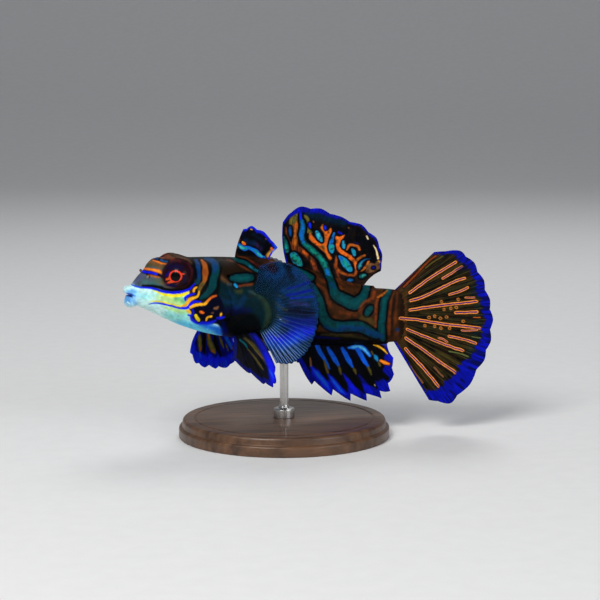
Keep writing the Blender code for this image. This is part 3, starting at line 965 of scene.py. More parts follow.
SKIN_WASHES = (
    # Nape and shoulder.
    patch(Tint.UMBER, (-20.5, 28.2), (-17.5, 29.6), (-13, 29.5), (-8, 29.5), (-4, 28.6), (-3, 26), (-5, 23),
          (-9, 21.5), (-13, 24.5), (-18, 27), soft=1.2, strength=0.85),
    patch(Tint.PINE, (-13.5, 25), (-11, 25.6), (-8, 24.2), (-4.2, 24.6), (-1, 22.5), (-1, 18), (-3.5, 16),
          (-7, 15.5), (-10.5, 16.5), (-11, 20), soft=1.4),
    patch(Tint.BLACK, (-10.4, 20.2), (-7.5, 20.4), (-4.6, 19.6), (-3.6, 17.6), (-4, 15.8), (-8.5, 15.6),
          (-10.4, 17), soft=1, strength=0.9),
    patch(Tint.NAVY, (-10.4, 20.6), (-8, 21), (-6, 20.9), (-5, 20.2), (-7.5, 19.7), (-9.6, 19.9), soft=0.9,
          strength=0.5),
    line(Tint.TAN, (0.5, 0.7, 0.5), (-10.3, 26), (-9.8, 25.4), (-9, 24.8), soft=0.6, strength=0.6),
    line(Tint.SLATE, 0.4, (-8.9, 24.5), (-8.5, 24.5), soft=0.5, strength=0.6),
    line(Tint.OLIVE, 0.7, (-7.5, 23.4), (-6.9, 23.4), soft=0.8, strength=0.6),
    line(Tint.DUSK, 0.6, (-10.5, 22.3), (-9.6, 21.9), (-8.4, 21.6), soft=0.8, strength=0.6),
    line(Tint.DUSK, 0.8, (-7.6, 20.9), (-6.8, 21.6), (-6.3, 22.4), soft=0.9, strength=0.6),
    line(Tint.DUSK, 0.9, (-8.8, 23.2), (-8, 22.4), (-8, 21.8), soft=0.9, strength=0.3),
    # Painted highlight: a faint grey gleam on the dark shoulder.
    line(Tint.SLATE, 0.5, (-5.4, 23.4), (-4.7, 23.1), soft=0.7, strength=0.45),
    # The fleshy foot of the pectoral fin.
    line(Tint.MOSS, (0.3, 0.8, 1.1, 1, 0.4), (-4.9, 23.2), (-3.4, 22.2), (-2.5, 20.4), (-2.6, 18.4),
         (-3.7, 16.7), soft=0.8, strength=0.34),
    # Belly line and the end of the tail stalk.
    patch(Tint.BLACK, (0, 17.4), (5, 17), (9, 16.6), (13, 16.2), (16.4, 15.4), (16.6, 13.5), (9, 13),
          (0, 13.5), soft=0.5, strength=0.92),
    line(Tint.OLIVE, (0.3, 0.6, 0.5, 0.3), (6, 16.4), (8.4, 16.4), (11, 16.2), (13.4, 15.7), soft=0.4,
         strength=0.5),
    line(Tint.NAVY, (0.2, 0.4, 0.3, 0.2), (2.6, 15.9), (5, 16), (7.4, 15.9), (9, 15.8), soft=0.3,
         strength=0.9),
)

BODY_MARKS = (
    # Under the first dorsal fin and on the nape.
    line(Tint.RUST, 0.45, (-8.2, 29.5), (-7.2, 29), (-6.2, 28.7), (-5, 28.1), soft=0.3, strength=0.55),
    line(Tint.RUST, 0.35, (-9, 28.4), (-7.8, 28.1), (-6.8, 27.4), (-5.8, 26.9), (-4.9, 26.5), soft=0.35,
         strength=0.6),
    line(Tint.WINE, 0.35, (-5.3, 28.1), (-4.2, 27.6), (-3.4, 27.2), soft=0.3, strength=0.5),
    teal((0.4, 0.6, 0.62, 0.6, 0.55, 0.5), (-8.4, 29), (-7.3, 28.35), (-6.2, 28), (-5.2, 27.3),
         (-4.4, 26.75), (-3.4, 26.2), edge=0.26),
    # Painted highlights: two lighter blue-green gleams along the thin teal stripe.
    line(Tint.LAGOON, 0.26, (-5.5, 27.45), (-5, 27.15), soft=0.25, strength=0.6),
    line(Tint.LAGOON, 0.22, (-4.6, 26.9), (-4.2, 26.65), soft=0.25, strength=0.6),
    teal((0.9, 1.35, 1.45, 1.1), (-8.2, 25.5), (-7.4, 25.5), (-6.3, 25.5), (-5.3, 25.6)),
    line(Tint.LAGOON, 0.42, (-7.9, 24.5), (-7.5, 24.1), edge=0.2),
    line(Tint.RUST, 0.42, (-7.1, 24.2), (-6.1, 24.4), (-5.1, 24.5), soft=0.25, strength=0.75),
    # The long band that comes down from the second dorsal fin and turns back up behind it.
    teal((1, 1.05, 1.05, 1.2, 1.6, 1.8, 1.9, 1.9, 1.6, 1.3, 1.1, 1), (6.4, 28.1), (7, 26.5), (7.5, 25.2),
         (7.9, 24), (8.3, 22.9), (9.2, 22.3), (10.2, 21.8), (11.3, 21.35), (12.2, 21.9), (12.8, 22.7),
         (13.2, 23.7), (13.4, 24.8)),
    line(Tint.DUSK, 0.7, (6.4, 27.1), (6.9, 26.2), soft=0.4, strength=0.7),
    line(Tint.DUSK, 0.6, (7.6, 24.7), (8, 24.1), soft=0.4, strength=0.6),
    # The lower band, from under the pectoral fin to the tail stalk, and its branch up the stalk.
    teal((1.2, 1.3, 1.4, 1.4, 1.6, 1.65, 1.6, 1.65, 1.65, 1.5, 1.2, 1), (4.2, 24.5), (4.9, 23.3),
         (5.7, 21.8), (6.1, 20.1), (6.7, 18.7), (7.9, 17.85), (9.5, 17.7), (11, 17.75), (12.3, 17.7),
         (13.4, 17.15), (14.5, 16.55), (15.9, 16.1)),
    teal((1, 1.05, 1.1, 1.1, 1.1, 1.1, 0.9), (17.1, 24.1), (16.6, 22.9), (16.05, 21.5), (15.9, 20),
         (15.75, 18.5), (15.7, 17), (15.9, 15.8), edge=0.3),
    line(Tint.DEEP, 0.9, (14.4, 16.7), (15.3, 16.4), (15.75, 16.9), (15.75, 17.9), soft=0.25,
         heart=Tint.TEAL),
    line(Tint.DUSK, 0.9, (9.2, 17.5), (11, 17.45), (12.6, 17.35), (14, 16.7), (15.6, 16.2), soft=0.6,
         strength=0.85),
    line(Tint.DUSK, 0.6, (6.6, 17.7), (8, 17.2), (9.4, 17.2), soft=0.5, strength=0.6),
    teal((0.9, 1.05, 0.9), (13.35, 19.85), (13.6, 20.25), (13.95, 20.7), edge=0.3),
    # Warm edges of the brown ground.
    line(Tint.OCHRE, (0.3, 0.4, 0.25), (15.1, 22.4), (15.9, 22.9), (16.6, 23.5), soft=0.2, strength=0.95),
    line(Tint.RUST, 0.5, (12.2, 20.3), (12.6, 21.2), (13.4, 21.9), (14.3, 22.3), (14.5, 23.3), soft=0.5,
         strength=0.85),
    line(Tint.RUST, 0.4, (15, 22), (14.75, 20.6), (14.75, 19.2), (14.75, 17.7), soft=0.4, strength=0.85),
    line(Tint.OLIVE, 0.8, (12.6, 19.1), (13.8, 18.8), (14.3, 18.2), soft=0.8, strength=0.6),
    line(Tint.RUST, 0.5, (5.4, 24.5), (6.6, 23.6), (7, 22.3), (7.4, 21), soft=0.6, strength=0.6),
    line(Tint.RUST, 0.5, (9, 20), (10.4, 19.7), (11.6, 19.5), soft=0.8, strength=0.5),
    line(Tint.RUST, (0.3, 0.5, 0.5, 0.4), (17.6, 23.4), (17.25, 21.4), (16.95, 19), (16.9, 16.4), soft=0.4,
         strength=0.7),
    line(Tint.UMBER, 0.35, (17.7, 22.6), (17.45, 20), (17.4, 16.4), soft=0.35, strength=0.7),
    line(Tint.RUST, 0.3, (18.3, 23.2), (18, 20.6), (17.9, 18.2), soft=0.4, strength=0.5),
    line(Tint.UMBER, (0.6, 1, 1.1, 1, 0.6), (19.2, 23), (19.1, 21), (19, 19), (19, 17), (19.2, 15.4),
         soft=0.7, strength=0.85),
    line(Tint.DUSK, 0.4, (18.1, 17.25), (18.4, 17.2), soft=0.3),
    # Shapes that the pectoral fin half hides.
    teal(1.1, (-0.4, 28), (-0.2, 26.8), (-1.4, 25.6), (-3, 25), tint=Tint.DUSK),
    teal(1, (1.6, 26.9), (3, 26.4), (4.4, 25.6)),
    teal(1.2, (0.4, 23.6), (2.3, 23.4), (3.3, 21.9), (3.5, 19.8), (3, 17.9)),
    teal(0.9, (-0.4, 21), (1.2, 20.6), (1.7, 18.9), (0.6, 17.4)),
    teal(0.8, (-1.2, 16.2), (1.5, 16), (4.2, 17), (5, 18.4)),
)

FACE_MARKS = (
    # Grey snout.
    patch(Tint.SLATE, (-25, 24.2), (-24.6, 24.9), (-24, 25.6), (-23.2, 26.5), (-22.4, 27.4), (-21.7, 28.6),
          (-20.8, 29.1), (-20, 28.6), (-19.2, 27.6), (-19.4, 26.5), (-19.4, 25.3), (-18.6, 24.3),
          (-17.5, 23.8), (-19.5, 23.3), (-22, 23.6), soft=0.7, strength=0.9),
    line(Tint.LILAC, 1, (-24.3, 24.9), (-23.3, 25.4), (-22.6, 26), soft=0.8, strength=0.6),
    line(Tint.OLIVE, (0.6, 0.9, 0.7), (-21.9, 27.6), (-20.8, 27.8), (-19.6, 27.3), soft=0.6, strength=0.75),
    line(Tint.TAN, 0.7, (-21.8, 28.2), (-21, 28), (-19.8, 27.5), soft=0.6, strength=0.75),
    line(Tint.MOSS, 0.6, (-20.6, 25.2), (-19.8, 24.8), soft=0.7, strength=0.5),
    line(Tint.SEA, 0.6, (-22.6, 24.9), (-21.5, 24.7), (-20.6, 24.7), soft=0.6, strength=0.2),
    line(Tint.DEEP, 0.3, (-22, 24.35), (-20.6, 24.3), (-19.4, 24.05), soft=0.3, strength=0.7),
    line(Tint.TAN, 0.4, (-19.6, 24.7), (-19, 24.2), (-18.2, 23.95), soft=0.4, strength=0.5),
    # Behind the eye: dark gaps, blue, orange and wide teal bands.
    patch(Tint.BLACK, (-14.9, 28.6), (-12, 29), (-10.2, 28.4), (-9.9, 27.2), (-10.2, 25.5), (-10.3, 23.6),
          (-11, 22.4), (-12.4, 21.9), (-13.8, 21.7), (-14.6, 22.6), (-14.6, 24.2), (-14, 25.2), soft=0.5,
          strength=0.9),
    line(Tint.TAN, 0.3, (-17.2, 28.9), (-16.2, 28.75), (-15.3, 28.4), (-14.8, 27.9), soft=0.3, strength=0.6),
    line(Tint.DUSK, (0.5, 0.8, 0.7, 0.7, 0.7), (-14.1, 28.4), (-13.8, 27.6), (-13.65, 26.4), (-13.65, 25.5),
         (-13.95, 24.8), soft=0.3),
    line(Tint.DEEP, 0.5, (-13.7, 25.2), (-14.1, 24.7), soft=0.4, strength=0.8),
    line(Tint.DEEP, (0.5, 0.9, 1.25, 1.2, 1.2, 1.3, 1, 0.6), (-12.6, 28.75), (-11.5, 28.3), (-10.95, 27.4),
         (-11, 26.3), (-11.3, 25.2), (-11.5, 24.1), (-12.3, 23), (-13.3, 22.3), soft=0.3),
    line(Tint.DUSK, (0.4, 0.8, 1, 0.6), (-12.6, 28.7), (-11.5, 28.25), (-11, 27.5), (-11.2, 26.6), soft=0.5,
         strength=0.9),
    line(Tint.OCHRE, (0.4, 0.8, 0.95, 0.8, 0.6, 0.6, 0.4), (-13.2, 28.4), (-12.7, 27.6), (-12.6, 26.6),
         (-12.65, 25.6), (-12.85, 24.9), (-13.3, 24.3), (-13.55, 23.6), soft=0.25, strength=0.88),
    line(Tint.RUST, 0.5, (-12.75, 26.7), (-12.7, 26.2), soft=0.5, strength=0.7),
    line(Tint.OLIVE, 0.6, (-13, 24.6), (-13.4, 24.1), (-13.6, 23.7), soft=0.4, strength=0.85),
    line(Tint.TEAL, 0.22, (-15.4, 29), (-14.2, 28.9), (-13.2, 28.9), soft=0.2, strength=0.5),
    # Gill cover: dark, with spots.
    patch(Tint.INK, (-15.2, 20.4), (-14.4, 21.5), (-13.6, 21.7), (-12.4, 21.6), (-11.4, 22.5), (-10.4, 22.6),
          (-9.6, 21), (-9.5, 19.4), (-10, 18.5), (-11.5, 18), (-12.6, 17.9), (-13.8, 18), (-14.6, 18.6),
          (-15.1, 19.4), soft=0.35),
    # Pale lower face.
    patch(Tint.SHELL, (-26, 24.6), (-24.6, 24.5), (-23.4, 24.15), (-21, 23.9), (-19.3, 23.4), (-18, 23.3),
          (-16.4, 23.35), (-15.3, 23.5), (-15.2, 22.7), (-15.7, 22.1), (-15.2, 21.2), (-15.2, 20.5),
          (-14.9, 19.8), (-15, 19.2), (-14.5, 18.5), (-13.6, 18.2), (-12.4, 18.1), (-11, 18.2),
          (-10.2, 17.6), (-10, 16.2), (-12, 15.5), (-15, 15.5), (-20, 16.5), (-24, 19), (-26.5, 21),
          soft=0.25),
    line(Tint.ICE, 2.4, (-25.4, 24), (-24.6, 22.4), (-25, 21), soft=1.8, strength=0.9),
    line(Tint.SKY, 0.7, (-24, 23.3), (-23.2, 22.8), (-22.2, 22.7), soft=0.9, strength=0.35),
    line(Tint.AQUA, 1, (-22.4, 22.4), (-21.2, 22.6), (-20.4, 23), soft=1, strength=0.2),
    line(Tint.LIME, (0.5, 1.3, 1.5, 1.4), (-20.2, 22.4), (-18.9, 22.2), (-17.6, 22), (-16.2, 21.7), soft=1.2,
         strength=0.95),
    line(Tint.LIME, (0.2, 0.6, 0.8, 0.8), (-19.4, 20.9), (-18.2, 20.6), (-17, 20.3), (-15.8, 20.1), soft=0.6,
         strength=0.85),
    line(Tint.SEA, 0.9, (-17.2, 22.2), (-16.5, 22.15), (-16, 21.7), soft=0.7, strength=0.4),
    line(Tint.AQUA, 1.4, (-18.6, 19.6), (-17, 19.2), (-15.8, 19.4), soft=1.2, strength=0.4),
    line(Tint.SKY, (0.5, 1.4, 1.7, 1.7, 1.1), (-18, 18.4), (-15.9, 18), (-14, 17.5), (-12.2, 17.2),
         (-10.4, 16.8), soft=0.9),
    line(Tint.AZURE, (0.3, 0.7, 1, 1.4), (-13.4, 18), (-12.2, 17.7), (-11, 17.4), (-10.3, 17), soft=0.8,
         strength=0.8),
    line(Tint.NAVY, (0.6, 1, 1), (-9.7, 18.2), (-9.5, 17), (-9.3, 15.8), soft=0.8, strength=0.95),
    # Lips.
    # The upper lip's pale colour, with a painted highlight along its top.
    line(Tint.SHELL, 0.7, (-25.9, 23.6), (-25, 24), (-24.3, 24.2), soft=0.5, strength=0.9),
    # Painted shade: darker blue just above the mouth's line.
    line(Tint.HAZE, 0.5, (-24.9, 23.35), (-24.4, 23.45), (-23.9, 23.3), soft=0.5, strength=0.7),
    # The lower lip's blue, kept darker at its front as painted shade.
    line(Tint.HAZE, (0.9, 1.1, 0.6), (-25.2, 22.4), (-25, 22), (-24.9, 21.5), soft=0.7, strength=0.9),
    line(Tint.HAZE, 0.5, (-24.3, 22.5), (-24.1, 21.9), (-23.8, 21.4), soft=0.5, strength=0.5),
    # Painted shadow in the mouth's cleft: a blue line, with a darker plum notch at its front.
    line(Tint.AZURE, (0.4, 0.5, 0.2), (-25.1, 22.9), (-24.6, 22.85), (-23.9, 22.65), soft=0.35,
         strength=0.7),
    line(Tint.PLUM, 0.26, (-25, 22.95), (-24.5, 22.85), soft=0.25, strength=0.6),
    # Painted highlight on the lower lip.
    line(Tint.SHELL, 0.26, (-25.1, 21.65), (-24.8, 21.4), soft=0.2, strength=0.9),
    line(Tint.SHELL, 0.5, (-25.4, 21.1), (-24.6, 20.85), (-23.9, 20.95), (-22.5, 20.4), (-20, 19.2),
         (-17.5, 18.1), soft=0.5, strength=0.7),
    # Lines of the face.
    line(Tint.BLACK, 0.45, (-22.6, 24.25), (-21.5, 24.2), (-20, 24.05), (-18.8, 23.7), (-17, 23.62),
         (-15.8, 23.85), (-15, 24.4), (-14.6, 24.9), soft=0.3, strength=0.95),
    line(Tint.ROYAL, (0.15, 0.24, 0.3, 0.34, 0.42, 0.44, 0.46, 0.44, 0.36, 0.2), (-24.4, 24.45),
         (-23.5, 24.12), (-22.4, 23.98), (-21.2, 23.86), (-19.8, 23.42), (-18.4, 23.2), (-16.9, 23.22),
         (-15.7, 23.5), (-14.95, 24), (-14.3, 24.6), soft=0.16),
    line(Tint.AZURE, (0.12, 0.2, 0.14), (-24.3, 24.42), (-23.5, 24.12), (-22.6, 23.98), soft=0.16,
         strength=0.8),
    line(Tint.AZURE, (0.1, 0.2, 0.1), (-21.2, 23.72), (-20.2, 23.42), (-19.2, 23.14), soft=0.16,
         strength=0.7),
    line(Tint.YELLOW, (0.12, 0.3, 0.42, 0.5, 0.54, 0.5, 0.44), (-21, 23.55), (-20.1, 23.2), (-19.2, 22.85),
         (-18.1, 22.72), (-17, 22.72), (-16.1, 22.88), (-15.4, 23.18), soft=0.16),
    line(Tint.ROYAL, (0.2, 0.36, 0.46, 0.42, 0.3), (-14.3, 23.05), (-14.9, 22.9), (-15.45, 22.62),
         (-15.85, 22.3), (-15.8, 21.95), soft=0.16),
    line(Tint.YELLOW, (0.12, 0.22, 0.26, 0.3, 0.34, 0.36), (-21.4, 21.82), (-20.2, 21.78), (-19.1, 21.56),
         (-18, 21.24), (-17, 21.04), (-16.1, 20.98), soft=0.18),
    line(Tint.AMBER, (0.36, 0.44, 0.56, 0.62, 0.52, 0.4, 0.34, 0.28), (-16.2, 20.98), (-15.8, 21.15),
         (-15.45, 21.6), (-15.1, 22.02), (-14.5, 22.35), (-14, 22.5), (-13.7, 22.85), (-13.62, 23.35),
         soft=0.16),
    line(Tint.ROYAL, (0.12, 0.24, 0.28, 0.28, 0.32, 0.4, 0.48, 0.5, 0.42, 0.2), (-21.6, 21.35),
         (-20.7, 21.52), (-19.6, 21.42), (-18.3, 21.1), (-17, 20.76), (-16, 20.66), (-15.4, 20.82),
         (-14.95, 21.35), (-14.4, 21.75), (-13.3, 21.72), soft=0.16),
    line(Tint.HAZE, (0.12, 0.2, 0.1), (-21.5, 21.38), (-20.6, 21.54), (-19.6, 21.46), soft=0.16,
         strength=0.6),
    line(Tint.AMBER, (0.45, 0.5, 0.46, 0.44, 0.4, 0.3), (-14.95, 20.85), (-14.4, 21.12), (-13.6, 21.28),
         (-12.7, 21.36), (-12.3, 21.75), (-11.9, 22.15), soft=0.16),
    line(Tint.ORANGE, (0.2, 0.34, 0.36, 0.3), (-12.4, 21.65), (-11.95, 22.15), (-11.4, 22.5), (-10.9, 22.65),
         soft=0.2, strength=0.9),
    line(Tint.AMBER, (0.24, 0.34, 0.4), (-14, 24.05), (-14.35, 23.85), (-14.5, 23.45), soft=0.16,
         heart=Tint.ORANGE),
    patch(Tint.AMBER, (-15.7, 20.35), (-15.2, 20.45), (-14.88, 20.1), (-14.95, 19.78), (-15.3, 19.85),
          soft=0.2, strength=0.9),
    line(Tint.ROYAL, 0.26, (-15.3, 19.58), (-14.8, 19.5), (-14.5, 19.9), (-14.65, 20.45), soft=0.2),
    line(Tint.ROYAL, (0.3, 0.45, 0.5, 0.5, 0.5, 0.3), (-14.9, 19.4), (-14.65, 18.75), (-13.9, 18.4),
         (-12.9, 18.3), (-12, 18.3), (-11, 18.65), soft=0.35),
    line(Tint.AZURE, 0.3, (-13.2, 18.05), (-12.2, 18), (-11.5, 18.15), soft=0.3, strength=0.6),
    line(Tint.ROYAL, (0.3, 0.42, 0.3), (-10.7, 19.1), (-10.1, 19.1), (-9.6, 19.3), soft=0.2, strength=0.95),
    line(Tint.YELLOW, (0.5, 0.56, 0.5), (-14.15, 19.5), (-13.95, 19.1), (-13.7, 18.75), edge=0.16,
         heart=Tint.AMBER),
    line(Tint.AMBER, (0.26, 0.3, 0.3, 0.26), (-12.42, 18.75), (-12.35, 19.1), (-12.05, 19.3), (-11.6, 19.34),
         edge=0.1),
    line(Tint.ORANGE, (0.3, 0.42, 0.3), (-13.45, 20.08), (-13.15, 20), (-12.9, 19.95), edge=0.1),
    line(Tint.TAN, (0.4, 0.5, 0.4), (-11.1, 20.65), (-10.8, 20.7), (-10.6, 20.85), soft=0.3),
    line(Tint.TAN, 0.24, (-11.6, 19.95), (-11.3, 19.95), strength=0.8),
    line(Tint.AMBER, (0.2, 0.36, 0.3), (-10.05, 19.9), (-10.1, 19.7), (-10.15, 19.55), edge=0.08),
    # Stripes on the snout and crown.
    line(Tint.ORANGE, (0.3, 0.42, 0.5, 0.6, 0.5), (-22.4, 27.08), (-21.7, 26.92), (-20.9, 26.8),
         (-20.1, 26.62), (-19.7, 26.3), soft=0.22, heart=Tint.AMBER),
    line(Tint.OCHRE, (0.14, 0.24, 0.34, 0.3), (-22.1, 26.16), (-21.4, 25.9), (-20.6, 25.76), (-20, 25.68),
         soft=0.2, strength=0.95),
    line(Tint.ROYAL, (0.25, 0.36, 0.38, 0.34, 0.25), (-22.9, 26.85), (-22.5, 26.58), (-21.6, 26.4),
         (-20.7, 26.24), (-19.9, 26.02), soft=0.14, edge=0.12),
    line(Tint.INK, 0.34, (-20.1, 26.05), (-19.6, 25.8), (-19.2, 25.4), soft=0.2),
    line(Tint.ORANGE, (0.24, 0.34, 0.4, 0.42), (-21, 28.42), (-20.2, 28.14), (-19.4, 27.92), (-18.7, 27.8),
         soft=0.22, heart=Tint.AMBER, strength=0.95),
    line(Tint.BLACK, (0.4, 0.55, 0.6, 0.5), (-21, 28.72), (-20, 28.52), (-19.2, 28.26), (-18.4, 28.12),
         soft=0.2),
    line(Tint.DUSK, 0.26, (-20.7, 28.68), (-20.25, 28.6), soft=0.14, heart=Tint.AZURE),
    line(Tint.DUSK, 0.36, (-19.75, 28.42), (-19.2, 28.22), (-18.7, 28.14), soft=0.14, heart=Tint.LAGOON),
    line(Tint.RUST, (0.3, 0.5, 0.3), (-20.8, 29.1), (-20.2, 29.1), (-19.4, 28.8), soft=0.4, strength=0.9),
    line(Tint.TAN, 0.7, (-19.8, 29.2), (-18.8, 29.1), (-17.9, 28.8), soft=0.5, strength=0.5),
    line(Tint.RUST, 0.5, (-19.6, 28.9), (-18.6, 28.8), (-17.6, 28.6), soft=0.5, strength=0.6),
    line(Tint.UMBER, 0.4, (-19, 29.7), (-18.2, 29.5), (-17.6, 29.2), soft=0.3, strength=0.8),
    line(Tint.RED, 0.3, (-18.2, 28.15), (-17.8, 28.2), soft=0.3, strength=0.5),
    line(Tint.CREAM, 0.36, (-21.85, 25.72), soft=0.2, strength=0.9),
    # Painted shade: a black dot for the dark inside of the nostril's bore.
    line(Tint.BLACK, 0.16, (-21.8, 25.7), soft=0.1),
    line(Tint.CREAM, 0.4, (-23, 26.75), soft=0.2, strength=0.8),
    line(Tint.CREAM, 0.3, (-21.25, 28.78), soft=0.2, strength=0.5),
)

EYE_MARKS = (
    patch(Tint.MAROON, (-19.5, 26.4), (-18.9, 27.7), (-17.8, 28.5), (-16.4, 28.6), (-15.2, 28),
          (-14.5, 26.9), (-14.5, 25.5), (-15.2, 24.4), (-16.6, 24), (-18.2, 24.1), (-19.3, 24.9), soft=0.5),
    line(Tint.BLACK, 0.4, (-14.6, 27.8), (-14.25, 26.6), (-14.5, 25.3), (-15.3, 24.2), soft=0.4,
         strength=0.8),
    line(Tint.WINE, 0.3, (-15.4, 28), (-14.85, 26.9), (-14.85, 25.9), (-15.3, 24.9), soft=0.35,
         strength=0.45),
    line(Tint.WINE, 0.3, (-18.2, 28.3), (-17.4, 28.4), (-16.6, 28.2), soft=0.3, strength=0.6),
    line(Tint.NAVY, 0.9, (-18.4, 27.3), (-17.5, 27.4), (-16.6, 27.2), soft=0.8, strength=0.45),
    line(Tint.BLUE, (0.3, 0.4, 0.3), (-18.9, 25.9), (-18.6, 26.2), (-18.35, 26.5), soft=0.3, strength=0.7),
    line(Tint.NAVY, 0.4, (-19, 24.45), (-18.2, 24.35), (-17.4, 24.3), soft=0.3, strength=0.7),
    line(Tint.NAVY, 0.4, (-16, 25.6), (-15.9, 24.9), soft=0.4, strength=0.5),
    line(Tint.OLIVE, 0.3, (-19.5, 25.4), (-19.4, 24.8), (-18.9, 24.3), soft=0.3, strength=0.6),
    patch(Tint.ORANGE, (-18.95, 25.4), (-18.5, 25.6), (-18.2, 25.75), (-18.1, 25.35), (-18.5, 25.2),
          (-18.85, 25.2), soft=0.16, heart=Tint.RED),
    patch(Tint.ORANGE, (-18.65, 24.85), (-18.2, 25.1), (-17.7, 25.05), (-17.5, 24.9), (-17.9, 24.75),
          (-18.4, 24.7), soft=0.16, heart=Tint.RED),
    line(Tint.RED, (0.12, 0.24, 0.3), (-15.95, 26.2), (-16.25, 26.2), (-16.6, 26.22), soft=0.14,
         heart=Tint.ORANGE),
    line(Tint.RED, (0.1, 0.2, 0.1), (-18.9, 24.7), (-18.5, 24.75), (-18.1, 24.9), soft=0.2, strength=0.7),
    line(Tint.WINE, (0.1, 0.3, 0.1), (-17.3, 24.4), (-17, 24.7), (-16.7, 24.9), soft=0.2, strength=0.8),
    line(Tint.RED, (0.34, 0.3, 0.26, 0.26, 0.32, 0.34, 0.28, 0.22, 0.14, 0.2, 0.3, 0.34), (-18.32, 25.7),
         (-18.2, 26.2), (-17.85, 26.55), (-17.35, 26.66), (-16.85, 26.5), (-16.5, 26.14), (-16.44, 25.7),
         (-16.62, 25.28), (-17.02, 24.98), (-17.52, 24.9), (-17.98, 25.06), (-18.27, 25.42), soft=0.14,
         heart=Tint.ORANGE),
    # Painted glint: a small pale highlight on the eye's ring.
    line(Tint.CREAM, 0.12, (-16.62, 25.55), (-16.75, 25.35), soft=0.12, strength=0.4),
    line(Tint.BLACK, 1.42, (-17.46, 25.77), (-17.32, 25.77), soft=0.12),
)


def tail_rays() -> tuple[Mark, ...]:
    """The tail fin's rays: each a pair of orange lines with violet between.

    Returns:
        The marks, in the order in which they are laid.
    """
    marks = []
    for width, tint, points in (
        (0.32, Tint.RUST, ((18.6, 24.3), (20.6, 26.3))),
        (0.32, Tint.RUST, ((19.2, 24.1), (21, 25.9), (23, 28), (24.4, 29.1))),
        (0.28, Tint.OLIVE, ((22.8, 27.2), (24, 28.1), (25.5, 29))),
        (0.46, Tint.PEACH, ((20.2, 23.2), (22, 24.5), (24, 25.9), (25.8, 27), (27.6, 28.1))),
        (0.42, Tint.PEACH, ((25.5, 25.5), (27, 26.4), (28.6, 27.4))),
        (0.48, Tint.PEACH, ((20.3, 21.9), (22.3, 22.5), (24, 23.3), (26, 24.3), (27.5, 25), (29, 25.5))),
        (0.44, Tint.PEACH, ((26.6, 22.9), (28, 23.3), (29.5, 24))),
        (0.5, Tint.PEACH, ((20.2, 20.4), (22.5, 20.8), (25, 21.1), (27.5, 21.4), (30.9, 21.8))),
        (0.3, Tint.PEACH, ((29.2, 22.4), (30.6, 22.4))),
        (0.5, Tint.PEACH, ((27.6, 20), (29, 20), (31, 20.1))),
        (0.2, Tint.OCHRE, ((30.4, 19.2), (31.5, 19.2))),
        (0.5, Tint.PEACH, ((18.7, 19.1), (21, 18.9), (23.5, 18.5), (26, 18.1), (28, 17.9), (31.4, 17.5))),
        (0.3, Tint.PEACH, ((28.6, 17.1), (30, 17.1), (31, 17.2))),
        (0.48, Tint.PEACH, ((19.8, 17.3), (22, 16.4), (24, 15.6), (26, 14.8), (28.7, 13.9))),
        (0.44, Tint.PEACH, ((26.5, 16.2), (28.5, 15.8), (30.8, 15.1))),
        (0.32, Tint.PEACH, ((24.9, 15.9), (25.6, 15.7), (26.2, 15.3))),
        (0.2, Tint.MOSS, ((30.2, 16.1), (31.6, 15.9))),
        (0.48, Tint.PEACH, ((19.6, 15.9), (21.5, 14.6), (23.5, 13.2), (25, 12.1), (27, 10.8), (27.5, 10.4))),
        (0.24, Tint.MOSS, ((26.5, 13.8), (28.3, 13.4), (29.6, 12.9))),
        (0.48, Tint.PEACH, ((19.5, 14.2), (21, 12.6), (22.5, 11), (23.5, 9.8), (24.8, 8.2))),
        (0.32, Tint.TAN, ((24.1, 11.2), (24.9, 10.4), (25.5, 9.7))),
        (0.3, Tint.TAN, ((20.1, 11.6), (20.9, 10.6), (22.3, 8.7))),
    ):
        marks.append(line(tint, width, *points, soft=0.1, edge=0.1))
        if tint is Tint.PEACH:
            marks.append(line(Tint.VIOLET, 0.38 * width, *points, soft=0.08))
    rings = ((25.3, 21.7), (28.0, 22.1), (26.8, 20.7), (27.7, 20.8), (25.7, 20.5), (25.1, 19.1), (26.1, 19.3),
             (23.3, 19.2), (24.2, 19.4), (24.2, 17.8), (25.2, 17.5), (26.6, 17.5), (22.6, 17.9),
              (28.8, 18.6))
    for along, up in rings:
        marks.append(line(Tint.PEACH, 0.52, (along, up), soft=0.1, strength=0.75))
        marks.append(line(Tint.INK, 0.24, (along, up), soft=0.12, strength=0.9))
    return tuple(marks)


